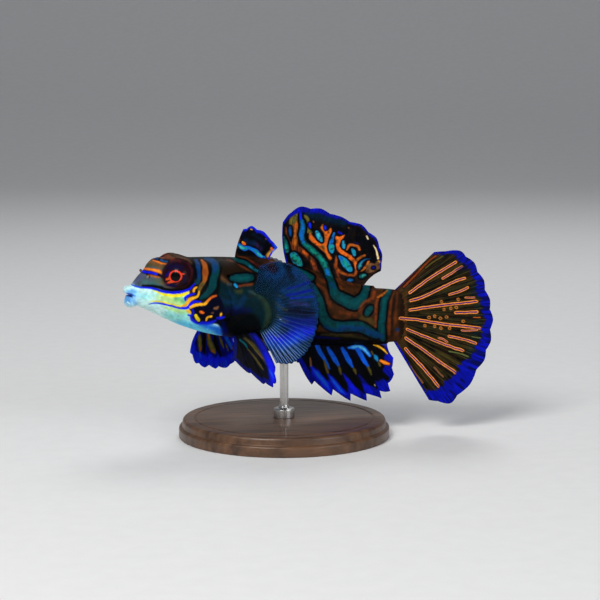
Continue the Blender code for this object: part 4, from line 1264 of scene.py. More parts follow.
FIRST_DORSAL_PAINT = FinPaint(
    Tint.BLACK, Tint.INK, Tint.ROYAL, (0.35, 0.45, 0.42, 0.5, 0.5), 0.01, 0.3, Tint.AZURE, 0.35,
    Tint.UMBER, 0.6, Tint.UMBER, (0.2, 0.2),
    washes=(
        line(Tint.RUST, 0.5, (-8, 29.7), (-7.6, 29.2), (-7.2, 28.9), soft=0.3, strength=0.8),
        line(Tint.PLUM, 0.7, (-4.5, 31), (-4.1, 30.6), (-3.8, 30.2), soft=0.7, strength=0.55),
        line(Tint.DUSK, 0.8, (-6.2, 31.5), (-5.5, 31.2), (-4.9, 31.2), soft=0.7, strength=0.6),
        line(Tint.DUSK, 0.5, (-5, 32.6), (-4, 32), (-3.2, 31.4), soft=0.6, strength=0.3),
    ),
    marks=(
        line(Tint.RUST, 0.36, (-7.6, 30.4), (-7.4, 31), (-7.1, 31.7), soft=0.25, strength=0.8),
        line(Tint.AZURE, (0.5, 0.8, 0.6, 0.55, 0.7, 0.72, 0.5, 0.4), (-7.25, 30.9), (-6.4, 30.3),
             (-5.7, 30.4), (-5.1, 30.15), (-4.5, 29.85), (-4, 29.3), (-3.4, 28.9), (-2.8, 28.9), soft=0.2,
             edge=0.15, heart=Tint.SEA),
        line(Tint.AQUA, (0.2, 0.5, 0.2), (-7.15, 30.65), (-6.85, 30.4), (-6.4, 30.3), soft=0.22,
             strength=0.9),
        line(Tint.AQUA, (0.2, 0.42, 0.2), (-4.2, 29.5), (-3.9, 29.2), (-3.5, 29), soft=0.22, strength=0.85),
        line(Tint.AZURE, 0.2, (-5.9, 30.5), (-5.2, 30.3), (-4.8, 30.05), soft=0.2, strength=0.6),
        line(Tint.BLUE, 0.5, (-3.3, 28.6), (-3.3, 27.8), soft=0.3, strength=0.9),
        line(Tint.ORANGE, (0.4, 0.55, 0.4), (-6.6, 31.25), (-6.42, 31.1), (-6.25, 30.98), soft=0.16,
             edge=0.1),
        line(Tint.YELLOW, 0.14, (-6.62, 31.38), (-6.5, 31.3), soft=0.12, strength=0.8),
        line(Tint.AMBER, 0.2, (-5.3, 33.36), (-5.1, 33.32), soft=0.14),
        line(Tint.TAN, 0.16, (-2.92, 31.85), (-2.8, 31.75), soft=0.14),
        line(Tint.TAN, (0.4, 0.6, 0.7, 0.5), (-2, 30), (-2.25, 29.7), (-2.6, 29.2), (-2.4, 28.8), soft=0.25,
             heart=Tint.AMBER, edge=0.1),
        line(Tint.ORANGE, 0.42, (-1.98, 30.3), (-1.85, 30.15), soft=0.2),
    ),
    over=(
        line(Tint.AZURE, 0.26, (-1.5, 30.95), (-1.2, 30.2), (-1.1, 29.4), soft=0.2, strength=0.8),
        line(Tint.PALE, 0.16, (-1.5, 30.2), (-1.9, 29.6), soft=0.16, strength=0.8),
        line(Tint.BLUE, 0.3, (-6.5, 33.2), (-6.9, 32.4), soft=0.3, strength=0.4),
    ),
)

SECOND_DORSAL_PAINT = FinPaint(
    Tint.BLACK, Tint.UMBER, Tint.BLUE, (0.55, 0.95, 0.85, 0.6, 0.42, 0.36, 0.36, 0.36, 0.2), 0.3, 0.01,
    Tint.ROYAL, 0.5, Tint.UMBER, 0.4, Tint.BLACK, (0.3, 0.3), variety=0.22, speckle=0.5,
    washes=(
        line(Tint.NIGHT, 1.6, (3.4, 36.1), (5.4, 35.6), (7.4, 35.2), (9.4, 34.6), soft=1, strength=0.9),
        patch(Tint.KHAKI, (0.85, 34.4), (1.15, 35.5), (1.6, 36.15), (2.15, 36), (2.3, 35.1), (2.3, 34.2),
              (1.5, 34), soft=0.3),
        patch(Tint.OCHRE, (1.5, 34.2), (2.3, 34.3), (2.36, 33), (2.2, 31.6), (2.3, 30.7), (1.9, 29.95),
              (1.3, 30.2), (1.3, 31.4), (1.55, 32.6), (1.5, 33.6), soft=0.3, heart=Tint.OCHRE),
        line(Tint.RUST, (0.3, 0.42, 0.4, 0.6), (0.3, 33.6), (0.5, 32.4), (0.75, 31.4), (1.3, 30.6),
             soft=0.25, strength=0.9),
        line(Tint.RUST, (0.9, 0.9, 0.85, 0.8, 0.75, 0.7, 0.7), (2.1, 30.3), (3.3, 29.65), (4.2, 28.8),
             (4.8, 27.7), (5.25, 26.5), (6, 25), (6.5, 24), soft=0.4),
        patch(Tint.BROWN, (7.9, 26.8), (8.8, 26.4), (10, 25.9), (11.6, 26), (12.8, 26.6), (14.8, 27),
              (14.6, 25.6), (12.8, 24.2), (11, 22.6), (9.3, 23.4), (8.2, 25.2), soft=0.5, strength=0.6),
    ),
    marks=(
        # The orange net.
        line(Tint.ORANGE, (0.2, 0.45, 0.2), (2.1, 34.6), (2.15, 34.1), (2.2, 33.5), soft=0.3, strength=0.7),
        line(Tint.ORANGE, 0.4, (3.1, 29.75), (3.7, 29.3), soft=0.3, strength=0.75),
        line(Tint.ORANGE, 0.34, (4.45, 28.3), (4.75, 27.8), soft=0.3, strength=0.6),
        line(Tint.KHAKI, (0.3, 0.5, 0.5, 0.5, 0.4), (3.1, 35.6), (3.7, 35.2), (4, 34.3), (4, 33.5),
             (3.9, 32.9), soft=0.25),
        patch(Tint.OCHRE, (4.1, 32.9), (4.6, 32.3), (5, 31.9), (5.4, 31.3), (6, 31.15), (6.5, 31.7),
              (6.5, 32.5), (6.1, 33.2), (5.9, 33.7), (6.3, 34.2), (6.6, 33.4), (7, 33.1), (7.5, 33.6),
              (7.65, 33), (7.4, 32.4), (7.2, 31.8), (7, 31.2), (6.9, 30.6), (7.15, 29.9), (7.4, 29.3),
              (7.75, 28.7), (7.3, 28.35), (6.9, 28.9), (6.6, 29.6), (6, 30.1), (5.2, 30.75), (4.5, 31.3),
              (4, 31.9), soft=0.16, heart=Tint.ORANGE),
        line(Tint.ORANGE, (0.2, 0.4, 0.42, 0.4, 0.4, 0.3), (4.3, 32.3), (4.9, 31.5), (5.6, 30.95),
             (6.4, 30.5), (6.8, 31.2), (7, 32.2), soft=0.22, strength=0.95),
        line(Tint.ORANGE, (0.3, 0.4, 0.2), (6.9, 32.4), (6.7, 33), (6.2, 33.6), soft=0.22, strength=0.85),
        line(Tint.KHAKI, 0.34, (6.2, 30.7), (6.45, 30.3), soft=0.2, strength=0.8),
        line(Tint.KHAKI, 0.3, (4.2, 33.1), (4.4, 32.8), soft=0.2, strength=0.8),
        patch(Tint.ORANGE, (8.1, 32.3), (8.9, 32.15), (9.75, 32.5), (9.5, 31.9), (9.05, 31.3), (8.95, 30.6),
              (9.5, 29.95), (10.4, 29.4), (11.3, 28.9), (11.1, 28.25), (10.2, 28.7), (9.3, 29.3),
              (8.65, 29.9), (8.35, 30.7), (8.4, 31.5), soft=0.2, heart=Tint.ORANGE),
        line(Tint.CREAM, 0.2, (8.25, 32.55), (8.15, 32.1), soft=0.18, strength=0.85),
        line(Tint.AMBER, 0.2, (8.7, 32), (8.6, 31.3), soft=0.2, strength=0.5),
        line(Tint.OCHRE, (0.3, 0.4, 0.42, 0.4, 0.4), (10.1, 30.1), (10.5, 30.8), (11.2, 30.85), (11.9, 30.6),
             (12.15, 30.1), soft=0.18, heart=Tint.ORANGE),
        line(Tint.ORANGE, (0.5, 0.5, 0.5, 0.4), (11, 28.7), (11.35, 28.2), (11.55, 27.6), (11.65, 26.9),
             soft=0.2),
        line(Tint.OCHRE, 0.4, (11.6, 28.3), (12.2, 28.8), (12.95, 29.15), soft=0.2),
        line(Tint.OCHRE, 0.4, (11.8, 26.95), (12.5, 26.85), (13.2, 27.4), (13.6, 28.2), soft=0.2),
        patch(Tint.TAN, (13.2, 26.5), (13.4, 27.5), (13.9, 28), (14.6, 27.9), (15, 28.35), (15.6, 28.35),
              (15.9, 27.7), (15.6, 27.2), (15, 26.9), (14.2, 26.45), soft=0.25, strength=0.9),
        line(Tint.AMBER, 0.24, (15.2, 28.25), (15.45, 28.1), soft=0.2, strength=0.8),
        line(Tint.RUST, (0.4, 0.5, 0.5, 0.55, 0.5, 0.5, 0.5), (8.5, 29), (8.35, 28), (8.35, 27.3),
             (8.95, 26.6), (10, 26.1), (11.3, 26.05), (11.7, 26.8), soft=0.25, heart=Tint.OCHRE),
        line(Tint.RUST, 0.34, (8.1, 27.8), (8.8, 25.7), (9.3, 24.2), (10.2, 22.9), soft=0.3, strength=0.9),
        line(Tint.RUST, 0.34, (11.4, 22.7), (12.1, 23.3), (12.8, 24.3), soft=0.3, strength=0.9),
        # Blue-green shapes.
        teal((0.6, 0.9, 0.9, 0.7), (-0.05, 32), (0.1, 31.3), (0.3, 30.6), (0.5, 29.9), tint=Tint.TEAL,
             heart=Tint.JADE),
        teal((0.4, 0.56, 0.4), (1, 33.7), (1.02, 33.1), (1.05, 32.4), tint=Tint.DUSK, heart=Tint.COBALT,
             edge=0.2),
        patch(Tint.LAGOON, (1.05, 29.4), (1.7, 29.75), (2.35, 29.15), (2.85, 28.4), (2.95, 27.5),
              (2.6, 27.35), (2, 27.65), (1.4, 28.1), (1.05, 28.8), edge=0.3, soft=0.16, heart=Tint.JADE),
        line(Tint.SEA, 0.7, (2.2, 28.6), (2.6, 27.8), soft=0.5, strength=0.6),
        teal((0.3, 0.34, 0.4, 0.75, 0.9, 0.8, 0.85, 0.95, 1, 1, 1.1, 1.1, 1.05, 1, 1), (2.8, 36.9),
             (2.7, 36), (2.75, 35.1), (2.92, 34.5), (3.02, 33.5), (2.82, 32.5), (3.25, 31.2), (4.1, 30.4),
             (5, 29.6), (5.9, 28.75), (6.4, 27.9), (6.75, 27.2), (7, 26.5), (7.4, 25.5), (7.8, 24.4),
             tint=Tint.TEAL, heart=Tint.JADE),
        line(Tint.ROYAL, 0.3, (2.8, 36.9), (2.7, 36), (2.75, 35), soft=0.2),
        line(Tint.COBALT, (0.35, 0.62, 0.74, 0.6, 0.5), (2.92, 34.7), (3.02, 33.6), (2.84, 32.7), (2.9, 32),
             (3.2, 31.3), soft=0.4, strength=0.8),
        line(Tint.SEA, (0.2, 0.5, 0.3), (4, 30.5), (4.7, 29.9), (5.2, 29.4), soft=0.4, strength=0.7),
        line(Tint.SEA, 0.5, (5.8, 28.9), (6.2, 28.3), soft=0.4, strength=0.7),
        line(Tint.COBALT, 0.55, (6.85, 26.9), (7.1, 26.1), soft=0.4, strength=0.8),
        teal((0.36, 0.45, 0.3), (4.15, 34.3), (4.2, 34), (4.25, 33.65), tint=Tint.ROYAL, edge=0.2,
             heart=Tint.COBALT),
        line(Tint.TAN, 0.2, (4.7, 34.68), (4.82, 34.5)),
        teal((0.3, 0.4, 0.3), (6.6, 33.85), (6.66, 33.55), (6.7, 33.3), tint=Tint.ROYAL, heart=Tint.COBALT,
             edge=0.14),
        teal((0.55, 0.74, 0.76, 0.5), (5.25, 32.9), (5.5, 32.45), (5.8, 31.95), (6.05, 31.55),
             tint=Tint.LAGOON, heart=Tint.AQUA, edge=0.26),
        teal((0.3, 0.4, 0.7, 0.95, 0.85, 0.5), (8.05, 32.75), (7.8, 31.9), (7.62, 31.2), (7.6, 30.6),
             (7.65, 30.1), (7.75, 29.7), tint=Tint.LAGOON, heart=Tint.SEA, edge=0.24),
        line(Tint.COBALT, (0.2, 0.34, 0.6), (8.05, 32.75), (7.8, 31.9), (7.65, 31.2), soft=0.3,
             strength=0.9),
        line(Tint.ROYAL, 0.32, (8.8, 32.9), (9, 32.8), (9.2, 32.7), soft=0.16),
        teal((0.4, 0.55, 0.45), (9.55, 31.4), (9.62, 30.9), (9.65, 30.4), tint=Tint.LAGOON, heart=Tint.AQUA,
             edge=0.2),
        teal((0.4, 0.6, 0.5), (11.05, 30.15), (11.2, 29.75), (11.35, 29.25), tint=Tint.LAGOON,
             heart=Tint.SEA, edge=0.22),
        line(Tint.NAVY, 0.4, (11.5, 31.15), (11.75, 31.1), soft=0.2),
        line(Tint.TAN, 0.2, (10.35, 33.65), (10.48, 33.5)),
        teal((0.3, 0.7, 1.15, 1.3, 0.95, 0.6), (8.9, 29.05), (9.3, 28.65), (9.7, 28.15), (10.05, 27.65),
             (10.45, 27.1), (10.7, 26.8), tint=Tint.LAGOON, heart=Tint.SEA, edge=0.26),
        line(Tint.COBALT, (0.2, 0.45, 0.1), (8.9, 29), (9.2, 28.7), (9.5, 28.35), soft=0.25, strength=0.85),
        teal((0.12, 0.3, 0.5, 0.75, 0.5), (13.85, 28.62), (13.1, 28.5), (12.45, 28.05), (12.2, 27.5),
             (12.1, 27.1), tint=Tint.DUSK, heart=Tint.AQUA, edge=0.22),
        teal((0.6, 0.8, 0.6), (12.35, 25.8), (12.65, 25.9), (13, 26), tint=Tint.TEAL, heart=Tint.AQUA,
             edge=0.26),
        teal((0.4, 0.62, 0.4), (10.25, 25.15), (10.6, 25.2), (11, 25.25), tint=Tint.DUSK, heart=Tint.LAGOON,
             edge=0.24),
        teal(0.46, (14.3, 27.2), (14.5, 27.25), tint=Tint.NAVY, heart=Tint.ROYAL, edge=0.14),
    ),
    over=(
        line(Tint.NIGHT, 0.7, (4, 35.9), (6, 35.4), (8, 34.9), (9.6, 34.4), soft=0.5, strength=0.5),
        line(Tint.CREAM, 0.2, (13.3, 32.25), (13.5, 31.8), soft=0.14),
        line(Tint.CREAM, (0.16, 0.26, 0.3, 0.36), (14.4, 30.8), (14.8, 30.1), (15, 29.2), (15.1, 28.7),
             soft=0.18, heart=Tint.AMBER),
    ),
)

ANAL_PAINT = FinPaint(
    Tint.BLACK, Tint.INK, Tint.BLUE, (1.9, 2.2, 2.1, 2.2, 2.3, 2.4, 2.0), 1.1, 0.5, Tint.ROYAL, 0.55,
    Tint.BLACK, 0.5, Tint.BLACK, (0.2, 0.2),
    over=(
        # Bright runs between black bands, down into the blue.
        line(Tint.ROYAL, (0.4, 1.1, 1.1, 0.6), (4.4, 11.3), (5.4, 10.1), (6.5, 8.8), (7.3, 7.6), soft=0.6,
             heart=Tint.AZURE),
        line(Tint.ROYAL, (0.3, 0.9, 0.9, 0.5), (7, 10.3), (8, 8.95), (9, 7.6), (9.8, 6.9), soft=0.5,
             heart=Tint.AZURE, strength=0.9),
        line(Tint.ROYAL, (0.3, 0.8, 0.8, 0.4), (9.5, 10.1), (10.5, 8.75), (11.4, 7.5), (12, 6.8), soft=0.45,
             strength=0.9),
        line(Tint.ROYAL, (0.3, 0.7, 0.5), (12, 10), (13, 8.6), (14, 7.2), soft=0.5, strength=0.5),
        line(Tint.BLACK, (0.9, 1, 0.3), (5.7, 12), (6.35, 10.6), (6.9, 9.3), soft=0.35),
        line(Tint.BLACK, (0.9, 1.2, 1, 0.3), (7.9, 11.3), (8.8, 9.8), (9.6, 8.5), (10.2, 7.3), soft=0.35),
        line(Tint.BLACK, (0.9, 1.2, 1, 0.3), (9.9, 11.6), (11, 9.8), (12, 8.4), (12.9, 7.1), soft=0.35),
        line(Tint.BLACK, (0.9, 1.2, 1.1, 0.4), (12.3, 11.8), (13.2, 10.2), (14, 9), (14.9, 7.9), soft=0.35),
        line(Tint.BLACK, (0.9, 1.1, 0.8), (14.3, 11.5), (15.4, 10.3), (16.6, 9.4), soft=0.35),
        # Blue stripes near the body.
        line(Tint.AZURE, (0.8, 0.75, 0.65, 0.5, 0.25), (5.4, 14.6), (5.7, 13.8), (6.2, 13), (6.8, 12),
             (7.3, 11), soft=0.25, strength=0.95),
        line(Tint.AZURE, (0.5, 0.74, 0.75, 0.5), (7.1, 14.3), (7.6, 13.4), (8.2, 12.4), (8.75, 11.5),
             soft=0.25, strength=0.95),
        line(Tint.AZURE, (0.6, 0.8, 0.8, 0.4), (9.4, 14.2), (9.9, 13.3), (10.4, 12.4), (11, 11.3), soft=0.25,
             strength=0.95),
        line(Tint.AZURE, (0.4, 0.8, 0.9, 0.8, 0.7, 0.5), (10.4, 14.35), (11.3, 14.5), (12, 14.5),
             (12.8, 14.2), (13.4, 13.6), (13.8, 13.1), soft=0.25, heart=Tint.SKY),
        line(Tint.AZURE, (0.7, 0.8, 0.7, 0.45), (11.8, 14.1), (12.25, 13.4), (12.85, 12.35), (13.5, 11.4),
             soft=0.25, strength=0.95),
        line(Tint.LAGOON, (0.3, 0.6, 0.4), (14.6, 13.1), (14.8, 12.75), (15.05, 12.3), soft=0.3),
        # Olive and orange touches.
        line(Tint.TAN, (0.25, 0.4, 0.3), (4.2, 12.7), (4.28, 12.1), (4.36, 11.5), soft=0.22),
        line(Tint.OLIVE, (0.25, 0.5, 0.4), (6.4, 12.3), (6.8, 11.2), (7.05, 10.4), soft=0.22,
             heart=Tint.TAN),
        line(Tint.OLIVE, (0.25, 0.5, 0.25), (8.8, 11.4), (9, 10.8), (9.15, 10.1), soft=0.25),
        line(Tint.OLIVE, (0.25, 0.5, 0.25), (11.2, 11.1), (11.4, 10.7), (11.55, 10.2), soft=0.25),
        line(Tint.OLIVE, (0.25, 0.45, 0.25), (13.5, 11.3), (13.8, 10.7), (14.05, 10.1), soft=0.25),
        line(Tint.OLIVE, 0.3, (14.1, 13.7), (14.3, 13.3), soft=0.25),
        line(Tint.OLIVE, 0.4, (15.3, 11.9), (15.45, 11.5), soft=0.25),
        line(Tint.ORANGE, (0.4, 0.6, 0.4), (15.5, 12.25), (16.2, 11.95), (16.85, 11.75), soft=0.2,
             heart=Tint.AMBER, edge=0.1),
        line(Tint.AMBER, (0.2, 0.34, 0.34, 0.2), (14.4, 14.8), (15.3, 14.5), (16, 14), (16.55, 13.4),
             soft=0.18, edge=0.1),
        line(Tint.PLUM, (0.4, 0.55, 0.55, 0.4), (13.8, 15.3), (15, 15.3), (16, 15), (17, 14.5), soft=0.3,
             heart=Tint.AZURE),
        line(Tint.ROYAL, 0.5, (17, 14.3), (17.5, 13.1), (17.6, 12), soft=0.35, strength=0.9),
        # Painted glint: a tiny pale highlight on the fin.
        line(Tint.CREAM, 0.16, (14.55, 8.4), (14.65, 8.3), soft=0.14, strength=0.8),
    ),
)

TAIL_PAINT = FinPaint(
    Tint.UMBER, Tint.BLACK, Tint.BLUE, (0.45, 1.2, 1.25, 1.35, 1.4, 1.5, 1.8, 3.0, 3.2, 1.2), 0.1, 0.4,
    Tint.ROYAL, 0.4, Tint.BROWN, 1.5, Tint.PINE, (0.3, 0.3), 0.12, Tint.OLIVE, 0.6, ragged=1.2, streaks=0.6,
    washes=(
        patch(Tint.BROWN, (17.5, 24.5), (19, 25.4), (22, 27.8), (24.5, 29.4), (23, 27.2), (20.3, 24.2),
              (19.6, 21), (19.6, 17), (19.4, 14.5), (17.5, 15), soft=0.8, strength=0.95),
        line(Tint.PINE, 1.2, (30.6, 24), (31, 20.5), (30.8, 16.5), (29.8, 13.2), soft=1.2, strength=0.6),
        line(Tint.OLIVE, 0.4, (22, 20), (25, 20.1), (27, 20.4), soft=0.5, strength=0.4),
        line(Tint.OLIVE, 0.4, (21.5, 17.9), (24, 17.2), (26.4, 16.8), soft=0.5, strength=0.4),
        line(Tint.OLIVE, 0.5, (21.5, 13.5), (24, 11.5), (26, 9.9), soft=0.6, strength=0.5),
        line(Tint.OLIVE, 0.5, (24.5, 13.6), (26.5, 12.6), (28, 11.8), soft=0.5, strength=0.5),
        line(Tint.RUST, 0.4, (19.4, 22.6), (19.6, 20.4), (19.5, 18), (19.4, 16.4), soft=0.5, strength=0.4),
    ),
    marks=tail_rays(),
    over=(
        line(Tint.NAVY, (0.3, 0.9, 0.3), (27.8, 26.8), (29.4, 27.4), (30.6, 27.8), soft=0.6, strength=0.5),
        line(Tint.NAVY, (0.3, 0.9, 0.3), (30.2, 23.2), (31.6, 23.4), (32.6, 23.6), soft=0.6, strength=0.4),
        line(Tint.NAVY, (0.3, 0.9, 0.3), (30.4, 14.2), (31.4, 13.6), (32.2, 13), soft=0.6, strength=0.4),
    ),
)

LEFT_PELVIC_PAINT = FinPaint(
    Tint.BLACK, Tint.INK, Tint.NAVY, (0.5, 0.8, 1.2, 1.2), 0.7, 1.1, Tint.BLUE, 0.7,
    Tint.BLACK, 1.0, Tint.BLACK, (0.1, 0.1),
    marks=(
        line(Tint.TEAL, (0.3, 0.36, 0.2), (-7, 15.6), (-6.2, 14.9), (-5.8, 14.3), soft=0.25),
        line(Tint.RUST, 0.36, (-8.1, 14.8), (-7.8, 14.2), soft=0.25, heart=Tint.TAN),
        line(Tint.OLIVE, (0.4, 0.6, 0.66, 0.6, 0.3), (-6.2, 15.8), (-5, 14.8), (-4.2, 13.8), (-3.2, 12.6),
             (-2.8, 11.8), soft=0.4, strength=0.75),
        line(Tint.TAN, (0.1, 0.18, 0.1), (-4.1, 13.4), (-3.5, 12.8), (-2.9, 12.3), soft=0.16, strength=0.85),
        line(Tint.KHAKI, 0.12, (-5.6, 15.2), (-4.8, 14.3), (-4.2, 13.5), soft=0.16, strength=0.6),
        line(Tint.OLIVE, (0.2, 0.34, 0.34, 0.2), (-5.7, 14.1), (-4.6, 12.7), (-3.8, 11.5), (-3.3, 10.8),
             soft=0.25, strength=0.85),
    ),
    over=(
        line(Tint.BLUE, (0.5, 1, 1.3, 1.5, 1.4), (-4.5, 16), (-3.4, 14.2), (-2.3, 12.2), (-1.7, 10.2),
             (-1.7, 8.2), soft=0.6),
        line(Tint.ROYAL, (0.3, 0.9, 0.9, 0.6), (-3, 13.4), (-2.2, 11.8), (-1.8, 10.4), (-1.7, 9), soft=0.7,
             strength=0.9),
        # Painted highlight: a lighter azure streak in the bright blue near the tip.
        line(Tint.AZURE, (0.1, 0.3, 0.1), (-2.35, 10.9), (-2, 10.2), (-1.7, 9.5), soft=0.3, strength=0.7),
    ),
)

RIGHT_PELVIC_PAINT = FinPaint(
    Tint.BLUE, Tint.NAVY, Tint.ROYAL, (1.8, 2.1, 2.2, 2.1, 1.6), 0.5, 0.4, Tint.AZURE, 0.5, Tint.NAVY, 0.6,
    Tint.NAVY, (0.3, 0.3), ragged=0.9, streaks=0.25,
    marks=(
        line(Tint.BLACK, (0.5, 0.6, 0.4), (-12.9, 16.6), (-12.88, 15.2), (-12.8, 13.8), soft=0.35),
        line(Tint.BLACK, (0.4, 0.7, 0.6, 0.3), (-11.2, 16.4), (-10.95, 15.2), (-10.6, 14.2), (-10.2, 13.2),
             soft=0.35),
        line(Tint.BLACK, 0.4, (-14.2, 16.5), (-14.2, 15.2), soft=0.4, strength=0.6),
        line(Tint.OLIVE, (0.5, 0.7, 0.74, 0.4), (-13.65, 16.6), (-13.55, 15.6), (-13.5, 14.7),
             (-13.45, 13.9), soft=0.3, heart=Tint.KHAKI),
        line(Tint.OCHRE, (0.2, 0.4, 0.2), (-13.45, 14.5), (-13.42, 14.15), (-13.4, 13.8), soft=0.3,
             strength=0.7),
        line(Tint.OLIVE, (0.5, 0.85, 0.95, 0.9, 0.5), (-12.2, 16.7), (-12.05, 15.6), (-11.7, 14.7),
             (-11.4, 14.1), (-11.2, 13.6), soft=0.3, heart=Tint.KHAKI),
        line(Tint.ORANGE, (0.2, 0.4, 0.2), (-12.2, 16.7), (-12.15, 16.4), (-12.1, 16), soft=0.3,
             strength=0.6),
        line(Tint.OCHRE, (0.2, 0.5, 0.2), (-11.7, 14.1), (-11.4, 13.85), (-11.15, 13.7), soft=0.3,
             strength=0.7),
        line(Tint.OLIVE, (0.3, 0.46, 0.4, 0.2), (-10.45, 16.4), (-10.15, 15.6), (-9.9, 14.9), (-9.7, 14.3),
             soft=0.25, heart=Tint.MOSS),
        line(Tint.OLIVE, (0.2, 0.28, 0.2), (-9.3, 14.9), (-9.15, 14.4), (-8.95, 13.9), soft=0.2),
        line(Tint.RUST, (0.3, 0.45, 0.3), (-8.6, 15.1), (-8.3, 14.5), (-8, 13.9), soft=0.25, strength=0.9),
    ),
    over=(
        line(Tint.ROYAL, (0.4, 0.6, 0.6, 0.6, 0.4), (-14.7, 17), (-15, 16.2), (-15.05, 15.2), (-14.95, 14.1),
             (-14.8, 13), soft=0.3, heart=Tint.AZURE, strength=0.95),
        line(Tint.AZURE, 0.3, (-13.5, 13.5), (-13.4, 12.6), soft=0.35, strength=0.6),
        line(Tint.AZURE, (0.3, 0.6, 0.6, 0.3), (-9.7, 16.9), (-9.2, 15.9), (-8.8, 15.1), (-8.4, 14.3),
             soft=0.3, strength=0.85),
        line(Tint.ROYAL, (0.3, 0.8, 0.8, 0.4), (-13.8, 12.6), (-12.4, 12.4), (-11, 12.3), (-9.6, 12.4),
             soft=0.7, strength=0.6),
    ),
)

PECTORAL_PAINT = FinPaint(
    Tint.NIGHT, Tint.DUSK, Tint.DUSK, (0.15, 0.15, 0.15), 0.01, 0.01, Tint.BLUE, 0.0, Tint.PINE, 0.8,
    Tint.PALE, (0.0, 0.0, 0.02, 0.05, 0.12, 0.4, 0.85, 0.9), 0.055, Tint.DUSK, 0.35,
    washes=(
        line(Tint.DUSK, (1.6, 2.2, 1.4), (-2.4, 26.2), (-0.9, 26.4), (-0.3, 28), soft=1.2, strength=0.8),
        line(Tint.MAROON, 1.2, (-2.5, 28.2), (-2, 27.4), (-1.6, 26.9), soft=0.9, strength=0.8),
        line(Tint.BLACK, 0.9, (0.3, 27.9), (0.8, 27), (1.3, 26), soft=0.8, strength=0.7),
        line(Tint.DUSK, 1.4, (1.9, 26.6), (2.6, 26.1), (3.2, 25.4), soft=1, strength=0.9),
        line(Tint.PLUM, 1, (3.5, 26.1), (4, 25.6), (4.6, 25.2), soft=0.9, strength=0.7),
        line(Tint.DUSK, (1.2, 2.4, 2.4, 1.2), (0, 23.6), (1.6, 23.4), (3.2, 23.2), (4.8, 23), soft=1.2,
             strength=0.75),
        line(Tint.BLUE, 0.4, (0.6, 22.8), (2.4, 23.1), (4.4, 23.6), soft=0.4, strength=0.8),
        line(Tint.BLUE, 0.36, (0.6, 23.8), (2.4, 24.3), (4.2, 24.9), soft=0.4, strength=0.6),
        line(Tint.ROYAL, 0.26, (1.2, 22.3), (3, 22.4), (4.6, 22.6), soft=0.3, strength=0.6),
        line(Tint.PLUM, 0.7, (1.2, 21.6), (2.6, 21.4), (3.8, 21.2), soft=0.8, strength=0.5),
        line(Tint.INK, 1.4, (1, 20.4), (2.4, 20.1), (4.4, 19.8), soft=1, strength=0.85),
        line(Tint.BLUE, 1.8, (0.6, 18.4), (2.4, 18.2), (4.4, 18.4), soft=1.2, strength=0.6),
        line(Tint.PINE, (1.2, 2.2, 1.6), (-3.6, 24.6), (-2.6, 23.4), (-1.8, 22), soft=1.4, strength=0.8),
        line(Tint.OLIVE, 0.4, (-1.3, 21.6), (-0.4, 20.8), (0.5, 20.4), soft=0.5, strength=0.45),
        line(Tint.OLIVE, 0.4, (-1.2, 19.6), (-0.3, 19), (0.6, 18.6), soft=0.5, strength=0.45),
        line(Tint.OLIVE, 0.3, (-1, 22.9), (0, 22.4), soft=0.5, strength=0.35),
        line(Tint.ROYAL, (1.2, 1.8, 2, 1.4), (-2.2, 15.9), (0, 15.6), (2.2, 16.4), (4.6, 17), soft=1.6,
             strength=0.8),
        line(Tint.AZURE, 1.3, (-2.6, 15), (-1, 14.6), (1, 15.2), (2.6, 16.3), soft=1.4, strength=0.5),
    ),
    over=(
        # Painted glint: a small pale highlight on the fin.
        line(Tint.PALE, 0.1, (-0.7, 18.95), (-0.4, 18.85), soft=0.1),
        line(Tint.MOSS, 0.12, (-1.5, 16.5), (-0.7, 16), soft=0.12, strength=0.7),
        line(Tint.MOSS, 0.14, (-0.4, 18.7), (0.3, 18.3), soft=0.15, strength=0.6),
    ),
)


def new_object(name: str, vertices: np.ndarray, faces: list[tuple[int, ...]]) -> bpy.types.Object:
    """A mesh object from points in millimetres, its faces turned outwards and shaded smooth.

    Args:
        name: The object's name.
        vertices: Its points.
        faces: Its faces, as indices of points.

    Returns:
        The object.
    """
    mesh = bpy.data.meshes.new(name)
    mesh.from_pydata(np.asarray(vertices, float) * MM, [], faces)
    work = bmesh.new()
    work.from_mesh(mesh)
    bmesh.ops.recalc_face_normals(work, faces=work.faces)
    work.to_mesh(mesh)
    work.free()
    mesh.shade_smooth()
    made = bpy.data.objects.new(name, mesh)
    bpy.context.scene.collection.objects.link(made)
    return made


def lofted(name: str, rings: np.ndarray, pole: np.ndarray | None = None) -> bpy.types.Object:
    """A closed body from rings of points in order.

    Args:
        name: The object's name.
        rings: Rings of equal size.
        pole: The point that rounds off the first ring; the last is closed flat.

    Returns:
        The object.
    """
    count, around = rings.shape[:2]
    ends = (rings[0].mean(axis=0) if pole is None else pole, rings[-1].mean(axis=0))
    vertices = np.concatenate((rings.reshape(-1, 3), ends))
    faces = []
    for i in range(count - 1):
        for j in range(around):
            k = (j + 1) % around
            faces.append((i * around + j, i * around + k, (i + 1) * around + k, (i + 1) * around + j))
    first, last = len(vertices) - 2, len(vertices) - 1
    for j in range(around):
        k = (j + 1) % around
        faces.append((first, k, j))
        faces.append((last, (count - 1) * around + j, (count - 1) * around + k))
    return new_object(name, vertices, faces)


